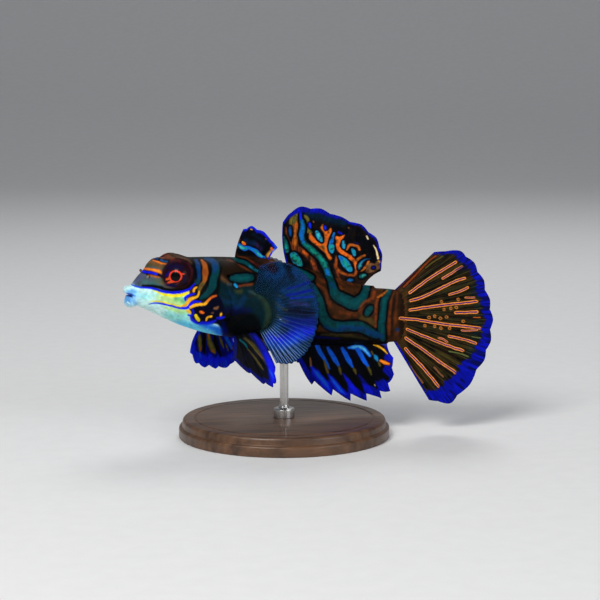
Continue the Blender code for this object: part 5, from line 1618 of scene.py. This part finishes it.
def ball(name: str, centre: np.ndarray, radius: float, aim: np.ndarray, fineness: int) -> bpy.types.Object:
    """A closed sphere whose first pole looks along aim.

    Args:
        name: The object's name.
        centre: Its middle.
        radius: Its radius.
        aim: The way that its first pole looks.
        fineness: How many rings lie between its poles.

    Returns:
        The object.
    """
    aim = unit(aim)
    side = unit(np.cross(aim, (0.0, 0.0, 1.0)))
    rise = np.cross(side, aim)
    turn = np.linspace(0, 2 * PI, 2 * fineness, endpoint=False)[None, :, None]
    tilt = np.linspace(0, PI, fineness + 1)[1:-1, None, None]
    out = np.sin(tilt) * (np.cos(turn) * side + np.sin(turn) * rise)
    made = lofted(name, centre + radius * (np.cos(tilt) * aim + out), centre + radius * aim)
    made.data.vertices[len(made.data.vertices) - 1].co = (centre - radius * aim) * MM
    return made


def horn(name: str, foot: np.ndarray, tip: np.ndarray, radii: tuple[float, ...],
         bow: float = 0.0) -> bpy.types.Object:
    """A closed round form from foot to tip with the given radii on the way, bent up by bow.

    Args:
        name: The object's name.
        foot: Where it starts.
        tip: Where it ends.
        radii: Evenly spaced radii on the way.
        bow: How far its tip is bent up.

    Returns:
        The object.
    """
    axis = unit(tip - foot)
    side = unit(np.cross(axis, (0.0, 0.0, 1.0)))
    rise = np.cross(side, axis)
    turn = np.linspace(0, 2 * PI, 24, endpoint=False)[None, :, None]
    share = np.linspace(0, 1, 16)[:, None, None]
    size = spaced(radii, share)
    centre = foot + (tip - foot) * share + rise * bow * share**2
    return lofted(name, centre + size * (np.cos(turn) * side + np.sin(turn) * rise))


def combine(made: bpy.types.Object, others: list[bpy.types.Object], operation: str) -> None:
    """Joins other closed forms to one, or cuts them from it, and removes them.

    Args:
        made: The form that is kept.
        others: The forms that go.
        operation: UNION or DIFFERENCE.
    """
    for other in others:
        boolean = made.modifiers.new("combine", "BOOLEAN")
        boolean.operation = operation
        boolean.object = other
        boolean.solver = "MANIFOLD"
    bpy.context.view_layer.update()
    graph = bpy.context.evaluated_depsgraph_get()
    mesh = bpy.data.meshes.new_from_object(made.evaluated_get(graph))
    made.modifiers.clear()
    made.data = mesh
    for other in others:
        bpy.data.objects.remove(other)


def vertices_of(made: bpy.types.Object) -> np.ndarray:
    """A mesh object's points in millimetres.

    Args:
        made: The object.

    Returns:
        Its points, one to a row.
    """
    flat = np.empty(3 * len(made.data.vertices))
    made.data.vertices.foreach_get("co", flat)
    return flat.reshape(-1, 3) / MM


@dataclass
class Piece:
    """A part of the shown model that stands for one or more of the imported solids."""

    name: str
    nodes: tuple[str, ...]
    slot: str

    def dress(self, made: bpy.types.Object, material: bpy.types.Material) -> bpy.types.Object:
        """Gives the object its material and its place in the model.

        Args:
            made: The finished mesh object.
            material: What it is made of.

        Returns:
            The same object.
        """
        made.data.materials.clear()
        made.data.materials.append(material)
        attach(made, "root")
        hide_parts(*self.nodes)
        LOG.info("%s: %d vertices, for %s", self.name, len(made.data.vertices), ", ".join(self.nodes))
        return made


@dataclass
class Skin(Piece):
    """The one skin over head, torso and tail stalk, with nostrils, cheek spines and gill pores."""

    around: int = 236
    face_rings: int = 100
    head_rings: int = 110
    trunk_rings: int = 190
    face_centre: float = -20.0
    gill_line: float = -8.0
    nostril: tuple[Point, Point] = ((-22.0, 1.9, 26.4), (-22.65, 2.95, 27.2))
    cheek_spine: tuple[Point, Point] = ((-12.6, 5.2, 19.7), (-9.9, 6.75, 20.3))
    gill_pore: tuple[Point, Point] = ((-9.9, 4.4, 26.4), (-9.9, 6.6, 29.4))
    nostril_radii: tuple[float, ...] = (0.34, 0.25, 0.22, 0.25, 0.2)
    bore_radii: tuple[float, ...] = (0.11, 0.14, 0.17)
    spine_radii: tuple[float, ...] = (0.6, 0.44, 0.26, 0.06)
    spine_bow: float = 0.5
    pore_radii: tuple[float, ...] = (0.3, 0.36)
    speckle_from: float = -13.5
    finish: Finish = Finish("painted skin", (0.42, 0.6), 0.035)

    def form(self) -> bpy.types.Object:
        """The skin as one closed mesh.

        Returns:
            The mesh object, not yet painted.
        """
        turn = np.linspace(0, 2 * PI, self.around, endpoint=False)
        radial = np.column_stack((np.zeros(self.around), np.sin(turn), np.cos(turn)))
        front = FLESH.axis(self.face_centre)
        angles = 0.5 * PI * (np.arange(1, self.face_rings + 1) / (self.face_rings + 1)) ** 1.1
        ways = [math.sin(a) * radial + np.array((-math.cos(a), 0.0, 0.0)) for a in angles]
        origins = [front] * len(ways)
        stations = np.concatenate((
            np.linspace(self.face_centre, self.gill_line, self.head_rings, endpoint=False),
            np.linspace(self.gill_line, FLESH.stalk_end - 0.02, self.trunk_rings)))
        ways += [radial] * len(stations)
        origins += [FLESH.axis(float(x)) for x in stations]
        starts = np.broadcast_to(np.array(origins)[:, None], (len(ways), self.around, 3))
        rings = FLESH.surface(np.ascontiguousarray(starts), np.array(ways))
        pole = FLESH.surface(front[None], np.array([(-1.0, 0.0, 0.0)]))[0]
        return lofted(self.name, rings, pole)

    def detail(self, made: bpy.types.Object) -> None:
        """Adds the small forms of the head and opens its sockets, nostrils and pores.

        Args:
            made: The skin, which is changed.
        """
        added, holes = [], []
        for side in (LEFT, RIGHT):
            ends = [[POSE.posed(mirrored(end, side)) for end in form]
                    for form in (self.nostril, self.cheek_spine, self.gill_pore)]
            tube, spine, pore = ends
            added.append(horn("nostril", *tube, self.nostril_radii))
            added.append(horn("spine", *spine, self.spine_radii, self.spine_bow))
            inside, beyond = 0.6 * tube[0] + 0.4 * tube[1], 1.2 * tube[1] - 0.2 * tube[0]
            holes.append(horn("bore", inside, beyond, self.bore_radii))
            holes.append(horn("pore", *pore, self.pore_radii))
            eye = POSE.posed(mirrored(FLESH.eye, side))
            holes.append(ball("socket", eye, FLESH.eye_radius + 0.02, mirrored(FLESH.eye_aim, side), 48))
        combine(made, added, "UNION")
        combine(made, holes, "DIFFERENCE")

    def paint(self, places: np.ndarray) -> Painter:
        """The skin's paint: a brown ground, then every marking.

        Args:
            places: The skin's vertices.

        Returns:
            The painter, with every mark laid.
        """
        painter = Painter.start(places, POSE.flank(places), Tint.BROWN)
        painter.mottled(Tint.UMBER, Mottle(3, 1.6), 0.4, 0.75, 0.75)
        painter.mottled(Tint.RUST, Mottle(4, 1.1), 0.5, 0.8, 0.45)
        painter.lay(SKIN_WASHES)
        painter.lay(BODY_MARKS)
        behind = ease((painter.chart[:, 0] - self.speckle_from) / 3)
        painter.cover(Tint.UMBER, 0.35 * behind * ease(3 * (Mottle(9, 0.55)(places) - 0.5)))
        painter.lay(tail_rays())
        painter.lay(FACE_MARKS)
        painter.lay(EYE_MARKS)
        painter.vary(0.5, 0.12)
        return painter

    def build(self) -> bpy.types.Object:
        """The whole skin, painted and in place.

        Returns:
            The object.
        """
        made = self.form()
        self.detail(made)
        made.data.shade_smooth()
        made.data.set_sharp_from_angle(angle=math.radians(60))
        self.paint(vertices_of(made)).put_on(made.data)
        return self.dress(made, self.finish.material())


@dataclass
class Eyeball(Piece):
    """One glossy eye with a dark pupil in a ragged red ring."""

    side: int = LEFT
    finish: Finish = Finish("painted eye", (0.24, 0.34), 0.07, 0.08, 0.03, 0.3, 0.002, 0.05)

    def build(self) -> bpy.types.Object:
        """The eye, painted and in its socket.

        Returns:
            The object.
        """
        centre = POSE.posed(mirrored(FLESH.eye, self.side))
        made = ball(self.name, centre, FLESH.eye_radius, mirrored(FLESH.eye_aim, self.side), 150)
        places = vertices_of(made)
        painter = Painter.start(places, POSE.flank(places), Tint.MAROON, 0.03)
        painter.lay(EYE_MARKS)
        painter.put_on(made.data)
        return self.dress(made, self.finish.material())


@dataclass
class Fin(Piece):
    """A thin fin with rays as ridges on both faces and a scalloped margin."""

    fan: Fan
    paint: FinPaint
    rays: int
    notch: float
    notch_at: float = 0.5
    notch_power: float = 1.4
    columns: int = 200
    rows: int = 90
    sink: float = 1.0
    membrane: tuple[float, float] = (0.26, 0.12)
    ridge: tuple[float, float] = (0.2, 0.05)
    ridge_reach: float = 0.13
    fork: float = 0.55
    fork_width: float = 0.26
    pleat: float = 0.03
    rim_share: float = 0.35
    rim_round: float = 0.3
    solid: tuple[float, ...] = ()
    solid_ray: tuple[float, float] = (0.35, 0.1)
    clear_rim: tuple[float, float] = (0.3, 1.4)
    clear_front: tuple[float, float] = (0.2, 2.0)
    solid_root: float = 1.5
    second_size: float = 1.1
    thread_run: tuple[float, float] = (90, 0.12)
    streak_run: tuple[float, float] = (40, 0.15)
    streak_size: float = 0.35
    wander_size: float = 0.7
    wander: float = 0.25
    twin: bool = False
    finish: Finish = Finish("painted fin", (0.4, 0.6), 0.04, 0.0, 0.15, 0.22, 0.012, 0.12)

    def sheet(self) -> dict[str, np.ndarray]:
        """The fin's middle sheet: its points, and each one's place on the fin.

        Returns:
            Grids of values by name, one column of each grid for each place round the fan.
        """
        each = max(6, round(self.columns / (self.rays - 1)))
        place = np.linspace(0, self.rays - 1, each * (self.rays - 1) + 1)
        share = place / (self.rays - 1)
        step = place % 1
        fall = np.where(step <= self.notch_at, step / self.notch_at, (1 - step) / (1 - self.notch_at))
        uneven = 1 + 0.35 * (Mottle(21, 1.7)(np.column_stack((place, place, place))) - 0.5)
        cut = self.notch * fall**self.notch_power * uneven
        sunk = -self.sink / self.fan.length(share)
        out = np.linspace(0, 1, self.rows)[None, :] ** 0.95 + np.zeros((len(place), 1))
        out = np.concatenate((sunk[:, None], 0.5 * sunk[:, None], out), axis=1)
        wide = np.broadcast_to(share[:, None], out.shape)
        middle = self.fan.place(wide, out, 1 - cut[:, None] * np.maximum(out, 0))
        spacing = np.linalg.norm(np.gradient(middle, place, axis=0), axis=2)
        length = (self.fan.length(share) * (1 - cut))[:, None]
        nearest = np.minimum(step, 1 - step)[:, None]
        forked = self.fork_width if self.fork < 1 else 0.0
        split = forked * ease((out - self.fork) / max(1.0 - self.fork, 0.01))
        return {
            "middle": middle, "share": wide, "out": np.maximum(out, 0), "edge": (1 - out) * length,
            "root": out * length, "ray": np.abs(nearest - split) * spacing,
            "front": place[:, None] * spacing, "hind": (self.rays - 1 - place)[:, None] * spacing,
            "step": np.broadcast_to(step[:, None], out.shape),
        }

    def form(self, sheet: dict[str, np.ndarray]) -> bpy.types.Object:
        """The closed fin: its middle sheet made thick, with a ridge on both faces over each ray.

        Args:
            sheet: The grids that sheet gives.

        Returns:
            The mesh object, not yet painted.
        """
        middle, out = sheet["middle"], sheet["out"]
        normal = unit(np.cross(np.gradient(middle, axis=0), np.gradient(middle, axis=1)))
        full = self.membrane[0] + (self.membrane[1] - self.membrane[0]) * out
        ridge = self.ridge[0] + (self.ridge[1] - self.ridge[0]) * out
        full = full + ridge * np.exp(-((sheet["ray"] / self.ridge_reach) ** 2))
        full = full * (self.rim_share + (1 - self.rim_share) * ease(sheet["edge"] / self.rim_round))
        middle = middle + (self.pleat * out * np.cos(2 * PI * sheet["step"]))[..., None] * normal
        half = 0.5 * full[..., None] * normal
        vertices = np.concatenate(((middle + half).reshape(-1, 3), (middle - half).reshape(-1, 3)))
        columns, rows = middle.shape[:2]
        back = columns * rows
        faces = []
        for i in range(columns - 1):
            for j in range(rows - 1):
                a, b, c, d = i * rows + j, (i + 1) * rows + j, (i + 1) * rows + j + 1, i * rows + j + 1
                faces.append((a, b, c, d))
                faces.append((back + a, back + d, back + c, back + b))
        edge = [i * rows for i in range(columns)]
        edge += [(columns - 1) * rows + j for j in range(1, rows)]
        edge += [i * rows + rows - 1 for i in range(columns - 2, -1, -1)]
        edge += list(range(rows - 2, 0, -1))
        faces += [(p, back + p, back + q, q) for p, q in zip(edge, edge[1:] + edge[:1])]
        return new_object(self.name, vertices, faces)

    def colour(self, sheet: dict[str, np.ndarray]) -> Painter:
        """The fin's paint, alike on both faces.

        Args:
            sheet: The grids that sheet gives.

        Returns:
            The painter for one face's vertices.
        """
        paint = self.paint
        flat = {key: value.ravel() for key, value in sheet.items() if key != "middle"}
        middle = sheet["middle"].reshape(-1, 3)
        if self.twin:
            middle = middle * np.array((1.0, -1.0, 1.0))
        painter = Painter.start(middle, middle, paint.ground)
        painter.mottled(paint.second, Mottle(8, self.second_size), 0.42, 0.7, 0.8)
        painter.lay(paint.washes)
        nowhere = np.zeros(len(middle))
        across, out = self.thread_run
        threads = np.column_stack((across * flat["share"], out * flat["root"], nowhere))
        thread = ease(4 * (Mottle(7, self.streak_size)(threads) - 0.4))
        painter.cover(paint.thread, paint.thread_strength * thread)
        ray = np.exp(-((flat["ray"] / paint.ray_width) ** 2))
        painter.cover(paint.ray, ray * spaced(paint.ray_strength, flat["share"]))
        painter.cover(paint.root, ease(1.2 - flat["root"] / paint.root_width))
        painter.lay(paint.marks)
        painter.mottled(Tint.UMBER, Mottle(9, 0.45), 0.5, 0.8, paint.speckle)
        across, out = self.streak_run
        lengthwise = np.column_stack((across * flat["share"], out * flat["root"], nowhere))
        streak = Mottle(6, self.streak_size)(lengthwise)
        wander = self.wander * (Mottle(5, self.wander_size)(middle) - 0.5) + paint.ragged * (streak - 0.5)
        width = spaced(paint.margin_width, flat["share"])
        front = (flat["front"] + paint.inset) / paint.front_width
        hind = (flat["hind"] + paint.inset) / paint.hind_width
        rim = np.minimum(flat["edge"] / width, np.minimum(front, hind))
        soft = paint.margin_soft / np.maximum(width, 0.3)
        painter.cover(paint.margin, ease(0.5 + (1 - rim + wander / width) / soft))
        painter.cover(paint.bright, paint.bright_strength * ease((streak - 0.4) * 4) * ease(1.3 - rim))
        dark = ease(6 * (Mottle(10, self.streak_size)(lengthwise) - 0.5))
        painter.cover(Tint.INK, paint.streaks * dark * ease(1.4 - rim))
        painter.lay(paint.over)
        painter.vary(0.4, paint.variety)
        return painter

    def build(self) -> bpy.types.Object:
        """The fin, painted and in place.

        Returns:
            The object.
        """
        sheet = self.sheet()
        made = self.form(sheet)
        painter = self.colour(sheet)
        painter.shade = np.concatenate((painter.shade, painter.shade))
        solid = None
        if self.solid:
            flat = {key: value.ravel() for key, value in sheet.items() if key != "middle"}
            solid = spaced(self.solid, flat["share"])
            share, wide = self.solid_ray
            solid = solid + (1 - solid) * share * np.exp(-((flat["ray"] / wide) ** 2))
            upper = ease(1.8 - 3.0 * flat["share"])
            share, wide = self.clear_rim
            solid = solid * (1 - share * upper * ease(1 - flat["edge"] / wide))
            share, wide = self.clear_front
            solid = solid * (1 - share * ease(1 - flat["front"] / wide))
            solid = np.maximum(solid, 1 - flat["root"] / self.solid_root)
            solid = np.concatenate((solid, solid))
        painter.put_on(made.data, solid)
        return self.dress(made, self.finish.material())


def on_back(x: float) -> Point:
    """A point on the midline of the back."""
    return (x, 0.0, float(through(FLESH.back, x)))


def on_belly(x: float) -> Point:
    """A point on the midline of the belly."""
    return (x, 0.0, float(through(FLESH.belly, x)))


def crescent(side: int) -> tuple[Point, ...]:
    """The fleshy edge that a pectoral fin's rays leave from.

    Args:
        side: LEFT or RIGHT.

    Returns:
        The points that the first to the last ray start from.
    """
    back, up = unit(mirrored(FLESH.lobe_back, side)), unit(mirrored(FLESH.lobe_up, side))
    middle = mirrored(FLESH.lobe, side)
    turns = np.radians((92, 46, 8, -32, -74))
    return tuple(tuple(middle + FLESH.lobe_radius * (math.cos(a) * back + math.sin(a) * up)) for a in turns)


def pectoral(name: str, node: str, side: int) -> Fin:
    """The broad, half-clear fan on one flank.

    Args:
        name: The piece's name.
        node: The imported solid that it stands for.
        side: LEFT or RIGHT.

    Returns:
        The fin.
    """
    top = (4.6, 6.5, 7.2) if side == LEFT else (3.7, 5.4, 6.6)
    fan = Fan(
        crescent(side), (80, 54, 28, 2, -24, -46, -62), top + (7.5, 7.3, 7.4, 7.5, 7.4, 6.0),
        along=tuple(unit(mirrored(FLESH.lobe_back, side))), across=tuple(unit(mirrored(FLESH.lobe_up, side))),
        curl=-0.03 * side)
    return Fin(
        name, (node,), "clear_fin", fan, PECTORAL_PAINT, rays=29, notch=0.025, columns=420, rows=90,
        membrane=(0.22, 0.1), ridge=(0.1, 0.04), ridge_reach=0.12, fork=0.45, pleat=0.02,
        solid=(0.7, 0.78, 0.84, 0.88, 0.92, 0.94, 0.92, 0.86), twin=side == RIGHT,
        finish=Finish("clear fin", (0.4, 0.55), 0.07, 0.0, 0.1, 0.3, 0.01, 0.1, True))


def fins() -> list[Fin]:
    """Every fin of the fish.

    Returns:
        The fins, midline ones first.
    """
    spiny = Fan(
        tuple(on_back(x) for x in (-7.9, -6.1, -4.2, -2.5)), (73, 80, 78, 54), (4.7, 5.2, 4.5, 2.5),
        bow=0.2, midline=True)
    soft = Fan(
        tuple(on_back(x) for x in (0.4, 4.6, 8.9, 12.8)), (95, 87, 79, 70, 61, 52, 45, 41),
        (6.7, 8.8, 9.8, 10.1, 10.2, 10.1, 9.9, 9.9, 9.9, 9.5, 8.9, 7.9, 6.7, 5.4, 3.9),
        bow=0.35, ripple=0.3, midline=True)
    anal = Fan(
        tuple(on_belly(x) for x in (2.7, 7.4, 12.1, 16.8)), (-101, -90, -80, -73, -68, -64, -63, -61, -67),
        (3.3, 6.8, 8.7, 10.0, 10.4, 10.3, 9.0, 6.0, 2.8), bow=-0.3, ripple=0.3, midline=True)
    tail = Fan(
        ((17.9, 0.0, 23.2), (18.6, 0.0, 19.1), (17.8, 0.0, 15.1)), (44, 33, 21, 9, -3, -15, -28, -48.5, -59),
        (9.0, 13.2, 14.4, 15.0, 15.6, 15.7, 15.3, 14.9, 11.6), ripple=0.25, midline=True)
    left_pelvic = Fan(
        ((-8.8, -3.2, 17.2), (-7.1, -4.2, 17.3), (-5.4, -4.6, 17.7)), (-95, -76, -68, -65, -63),
        (4.0, 5.8, 7.7, 9.1, 9.3, 8.0, 6.3), along=(0.92, -0.2, 0.0), across=(0.0, 0.38, 0.92), bow=0.3)
    right_pelvic = Fan(
        ((-13.4, 2.0, 17.5), (-10.5, 3.4, 17.0), (-7.9, 3.8, 17.2)), (-108, -103, -96, -89, -76.5),
        (4.6, 6.2, 7.0, 7.1, 7.4, 7.3, 5.6), along=(0.97, 0.1, 0.0), across=(0.0, -0.34, 0.94), bow=-0.3)
    return [
        Fin("first_dorsal_fin", ("fin_dorsal_spiny",), "fin", spiny, FIRST_DORSAL_PAINT, 4, 0.06,
            columns=110, rows=70, fork=1.0),
        Fin("second_dorsal_fin", ("fin_dorsal_soft",), "fin", soft, SECOND_DORSAL_PAINT, 8, 0.03,
            columns=210, rows=120),
        Fin("anal_fin", ("fin_anal",), "fin", anal, ANAL_PAINT, 9, 0.13, 0.15, 1.0, columns=217, rows=120),
        Fin("tail_fin", ("fin_tail",), "tail_fin", tail, TAIL_PAINT, 11, 0.025, columns=430, rows=108,
            ridge=(0.22, 0.06)),
        pectoral("left_pectoral_fin", "fin_pectoral_left", LEFT),
        pectoral("right_pectoral_fin", "fin_pectoral_right", RIGHT),
        Fin("left_pelvic_fin", ("fin_pelvic_left",), "fin", left_pelvic, LEFT_PELVIC_PAINT, 6, 0.07, 0.3,
            columns=110, rows=90, sink=1.4),
        Fin("right_pelvic_fin", ("fin_pelvic_right",), "fin", right_pelvic, RIGHT_PELVIC_PAINT, 6, 0.07, 0.3,
            columns=130, rows=90, sink=1.4),
    ]


@dataclass
class Turned(Piece):
    """A turned part of the stand: a profile spun about the upright axis."""

    profile: Knots = ()
    wood: bool = True
    sides: int = 192
    dark_grain: Point = (0.045, 0.02, 0.010)
    light_grain: Point = (0.16, 0.075, 0.034)
    steel: Point = (0.62, 0.61, 0.59)

    def material(self) -> bpy.types.Material:
        """Oiled dark wood with a straight grain, or brushed steel.

        Returns:
            The material.
        """
        wiring = Wiring(self.name)
        shader = wiring.shader
        if self.wood:
            grain = wiring.noise(1.1, 6.0, (9.0, 0.8, 3.0))
            fine = wiring.noise(0.25, 4.0, (14.0, 1.0, 1.0))
            tone = wiring.node("ValToRGB", {}, Fac=grain)
            ramp = tone.color_ramp.elements
            ramp[0].position, ramp[1].position = 0.32, 0.7
            ramp[0].color = (*self.dark_grain, 1.0)
            ramp[1].color = (*self.light_grain, 1.0)
            colour = wiring.times(tone.outputs["Color"], wiring.spread(fine, 0.8, 1.12))
            wiring.feed(shader, "Base Color", colour)
            wiring.feed(shader, "Roughness", wiring.spread(fine, 0.34, 0.5))
            wiring.bump(fine, 0.02)
            shader.inputs["Coat Weight"].default_value = 0.15
        else:
            brushed = wiring.noise(0.08, 3.0, (1.0, 1.0, 18.0))
            steel = wiring.node("RGB")
            steel.outputs[0].default_value = (*self.steel, 1.0)
            colour = wiring.times(steel.outputs[0], wiring.spread(brushed, 0.85, 1.05))
            wiring.feed(shader, "Base Color", colour)
            wiring.feed(shader, "Roughness", wiring.spread(brushed, 0.22, 0.4))
            shader.inputs["Metallic"].default_value = 1.0
        return wiring.material

    def build(self) -> bpy.types.Object:
        """The turned part, finished and in place.

        Returns:
            The object.
        """
        turn = np.linspace(0, 2 * PI, self.sides, endpoint=False)
        rings = np.array([
            np.column_stack((radius * np.cos(turn), radius * np.sin(turn), np.full(self.sides, height)))
            for radius, height in self.profile])
        made = lofted(self.name, rings)
        made.data.set_sharp_from_angle(angle=math.radians(35))
        return self.dress(made, self.material())


def rounded(corners: tuple[tuple[float, float, float], ...]) -> Knots:
    """A profile from (radius, height, rounding) corners, each rounded by five short steps.

    Args:
        corners: Each corner's radius, height and rounding.

    Returns:
        The profile's knots.
    """
    profile = []
    for i, (radius, height, rounding) in enumerate(corners):
        here = np.array((radius, height))
        if rounding == 0.0:
            profile.append((radius, height))
            continue
        before = here + rounding * unit(np.array(corners[i - 1][:2]) - here)
        after = here + rounding * unit(np.array(corners[i + 1][:2]) - here)
        for t in np.linspace(0, 1, 6):
            spot = (1 - t) ** 2 * before + 2 * t * (1 - t) * here + t**2 * after
            profile.append(tuple(spot))
    return tuple(profile)


def stand() -> list[Turned]:
    """The display stand: a turned base and a slim rod with a collar, up to the belly.

    Returns:
        The base and the rod.
    """
    base = rounded((
        (16.4, 0.0, 0.0), (17.0, 0.0, 0.25), (17.0, 1.65, 0.3), (16.5, 1.75, 0.12), (16.35, 2.99, 0.5),
        (14.6, 2.99, 0.1), (14.4, 2.8, 0.1), (14.1, 2.99, 0.1), (2.0, 2.99, 0.0)))
    belly = on_belly(0.0)[2] + 0.6
    rod = rounded((
        (1.6, 2.95, 0.0), (1.7, 3.05, 0.0), (1.7, 4.5, 0.3), (0.95, 4.5, 0.1), (0.7, 5.0, 0.15),
        (0.7, belly, 0.0)))
    return [
        Turned("stand_base", ("stand_base",), "stand", base, True),
        Turned("stand_rod", ("stand_rod",), "rod", rod, False, 64),
    ]


@dataclass(frozen=True)
class Softbox:
    """A square lamp that lights the fish: its place round the stand, its size and its power."""

    name: str
    azimuth: float
    elevation: float
    distance: float
    size: float
    power: float
    colour: Point = (1.0, 1.0, 1.0)

    def build(self) -> None:
        """Hangs the lamp and turns it to the fish."""
        turn, tilt = math.radians(self.azimuth), math.radians(self.elevation)
        back = np.array((math.sin(turn) * math.cos(tilt), -math.cos(turn) * math.cos(tilt), math.sin(tilt)))
        right = unit(np.cross((0.0, 0.0, 1.0), back))
        up = np.cross(back, right)
        data = bpy.data.lights.new(self.name, "AREA")
        data.size = self.size * MM
        data.energy = self.power
        data.color = self.colour
        lamp = bpy.data.objects.new(self.name, data)
        bpy.context.scene.collection.objects.link(lamp)
        spot = (np.array(VIEWPOINT.target) + self.distance * back) * MM
        lamp.matrix_world = aimed(right, up, back, spot)


@dataclass
class Studio:
    """A pale floor that curves up behind the model, soft lamps and a dim pale surround."""

    half_width: float = 3000.0
    near: float = -1500.0
    curve_start: float = 500.0
    curve_radius: float = 500.0
    height: float = 2200.0
    surround: float = 0.22
    surround_tint: Point = (0.92, 0.95, 1.0)
    paper: Point = (0.78, 0.785, 0.79)
    lamps: tuple[Softbox, ...] = (
        Softbox("key", -38.0, 42.0, 420.0, 170.0, 1.25, (1.0, 0.98, 0.95)),
        Softbox("fill", 40.0, 20.0, 480.0, 260.0, 0.55, (0.95, 0.97, 1.0)),
        Softbox("back", 160.0, 50.0, 420.0, 160.0, 0.45),
    )

    def build(self) -> None:
        """Makes floor, lamps and surround."""
        bend = np.linspace(0, 0.5 * PI, 24)
        depth = [self.near] + list(self.curve_start + self.curve_radius * np.sin(bend))
        rise = [0.0] + list(self.curve_radius * (1 - np.cos(bend)))
        depth.append(depth[-1])
        rise.append(self.height)
        right, _, back = VIEWPOINT.axes()
        away = -unit(np.array((back[0], back[1], 0.0)))
        vertices = [
            side * self.half_width * right + d * away + np.array((0.0, 0.0, r))
            for d, r in zip(depth, rise) for side in (-1, 1)]
        faces = [(2 * i, 2 * i + 1, 2 * i + 3, 2 * i + 2) for i in range(len(depth) - 1)]
        floor = new_object("floor", np.array(vertices), faces)
        wiring = Wiring("floor paper")
        paper = wiring.node("RGB")
        paper.outputs[0].default_value = (*self.paper, 1.0)
        tone = wiring.spread(wiring.noise(3.0), 0.985, 1.015)
        wiring.feed(wiring.shader, "Base Color", wiring.times(paper.outputs[0], tone))
        wiring.shader.inputs["Roughness"].default_value = 0.85
        floor.data.materials.append(wiring.material)
        floor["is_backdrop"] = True
        for lamp in self.lamps:
            lamp.build()
        world = bpy.data.worlds.new("surround")
        world.use_nodes = True
        shade = world.node_tree.nodes["Background"]
        shade.inputs["Color"].default_value = (*self.surround_tint, 1.0)
        shade.inputs["Strength"].default_value = self.surround
        bpy.context.scene.world = world
        settings = bpy.context.scene.view_settings
        settings.view_transform = "Standard"
        settings.look = "None"
        LOG.info("studio: floor and %d lamps", len(self.lamps))


def corners() -> list[list[float]]:
    """The shown model's lowest and highest corner in metres, as plain lists."""
    return [[float(value) for value in corner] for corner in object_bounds()]


def main() -> None:
    """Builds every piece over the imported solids, then the studio and the camera."""
    logging.basicConfig(level=logging.INFO, format="%(name)s: %(message)s")
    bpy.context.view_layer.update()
    Skin("skin", ("head", "torso", "tail_stalk"), "skin").build()
    Eyeball("left_eye", ("eye_left",), "eye", LEFT).build()
    Eyeball("right_eye", ("eye_right",), "eye", RIGHT).build()
    for piece in [*fins(), *stand()]:
        piece.build()
    Studio().build()
    VIEWPOINT.make_camera()


if __name__ == "__main__":
    main()
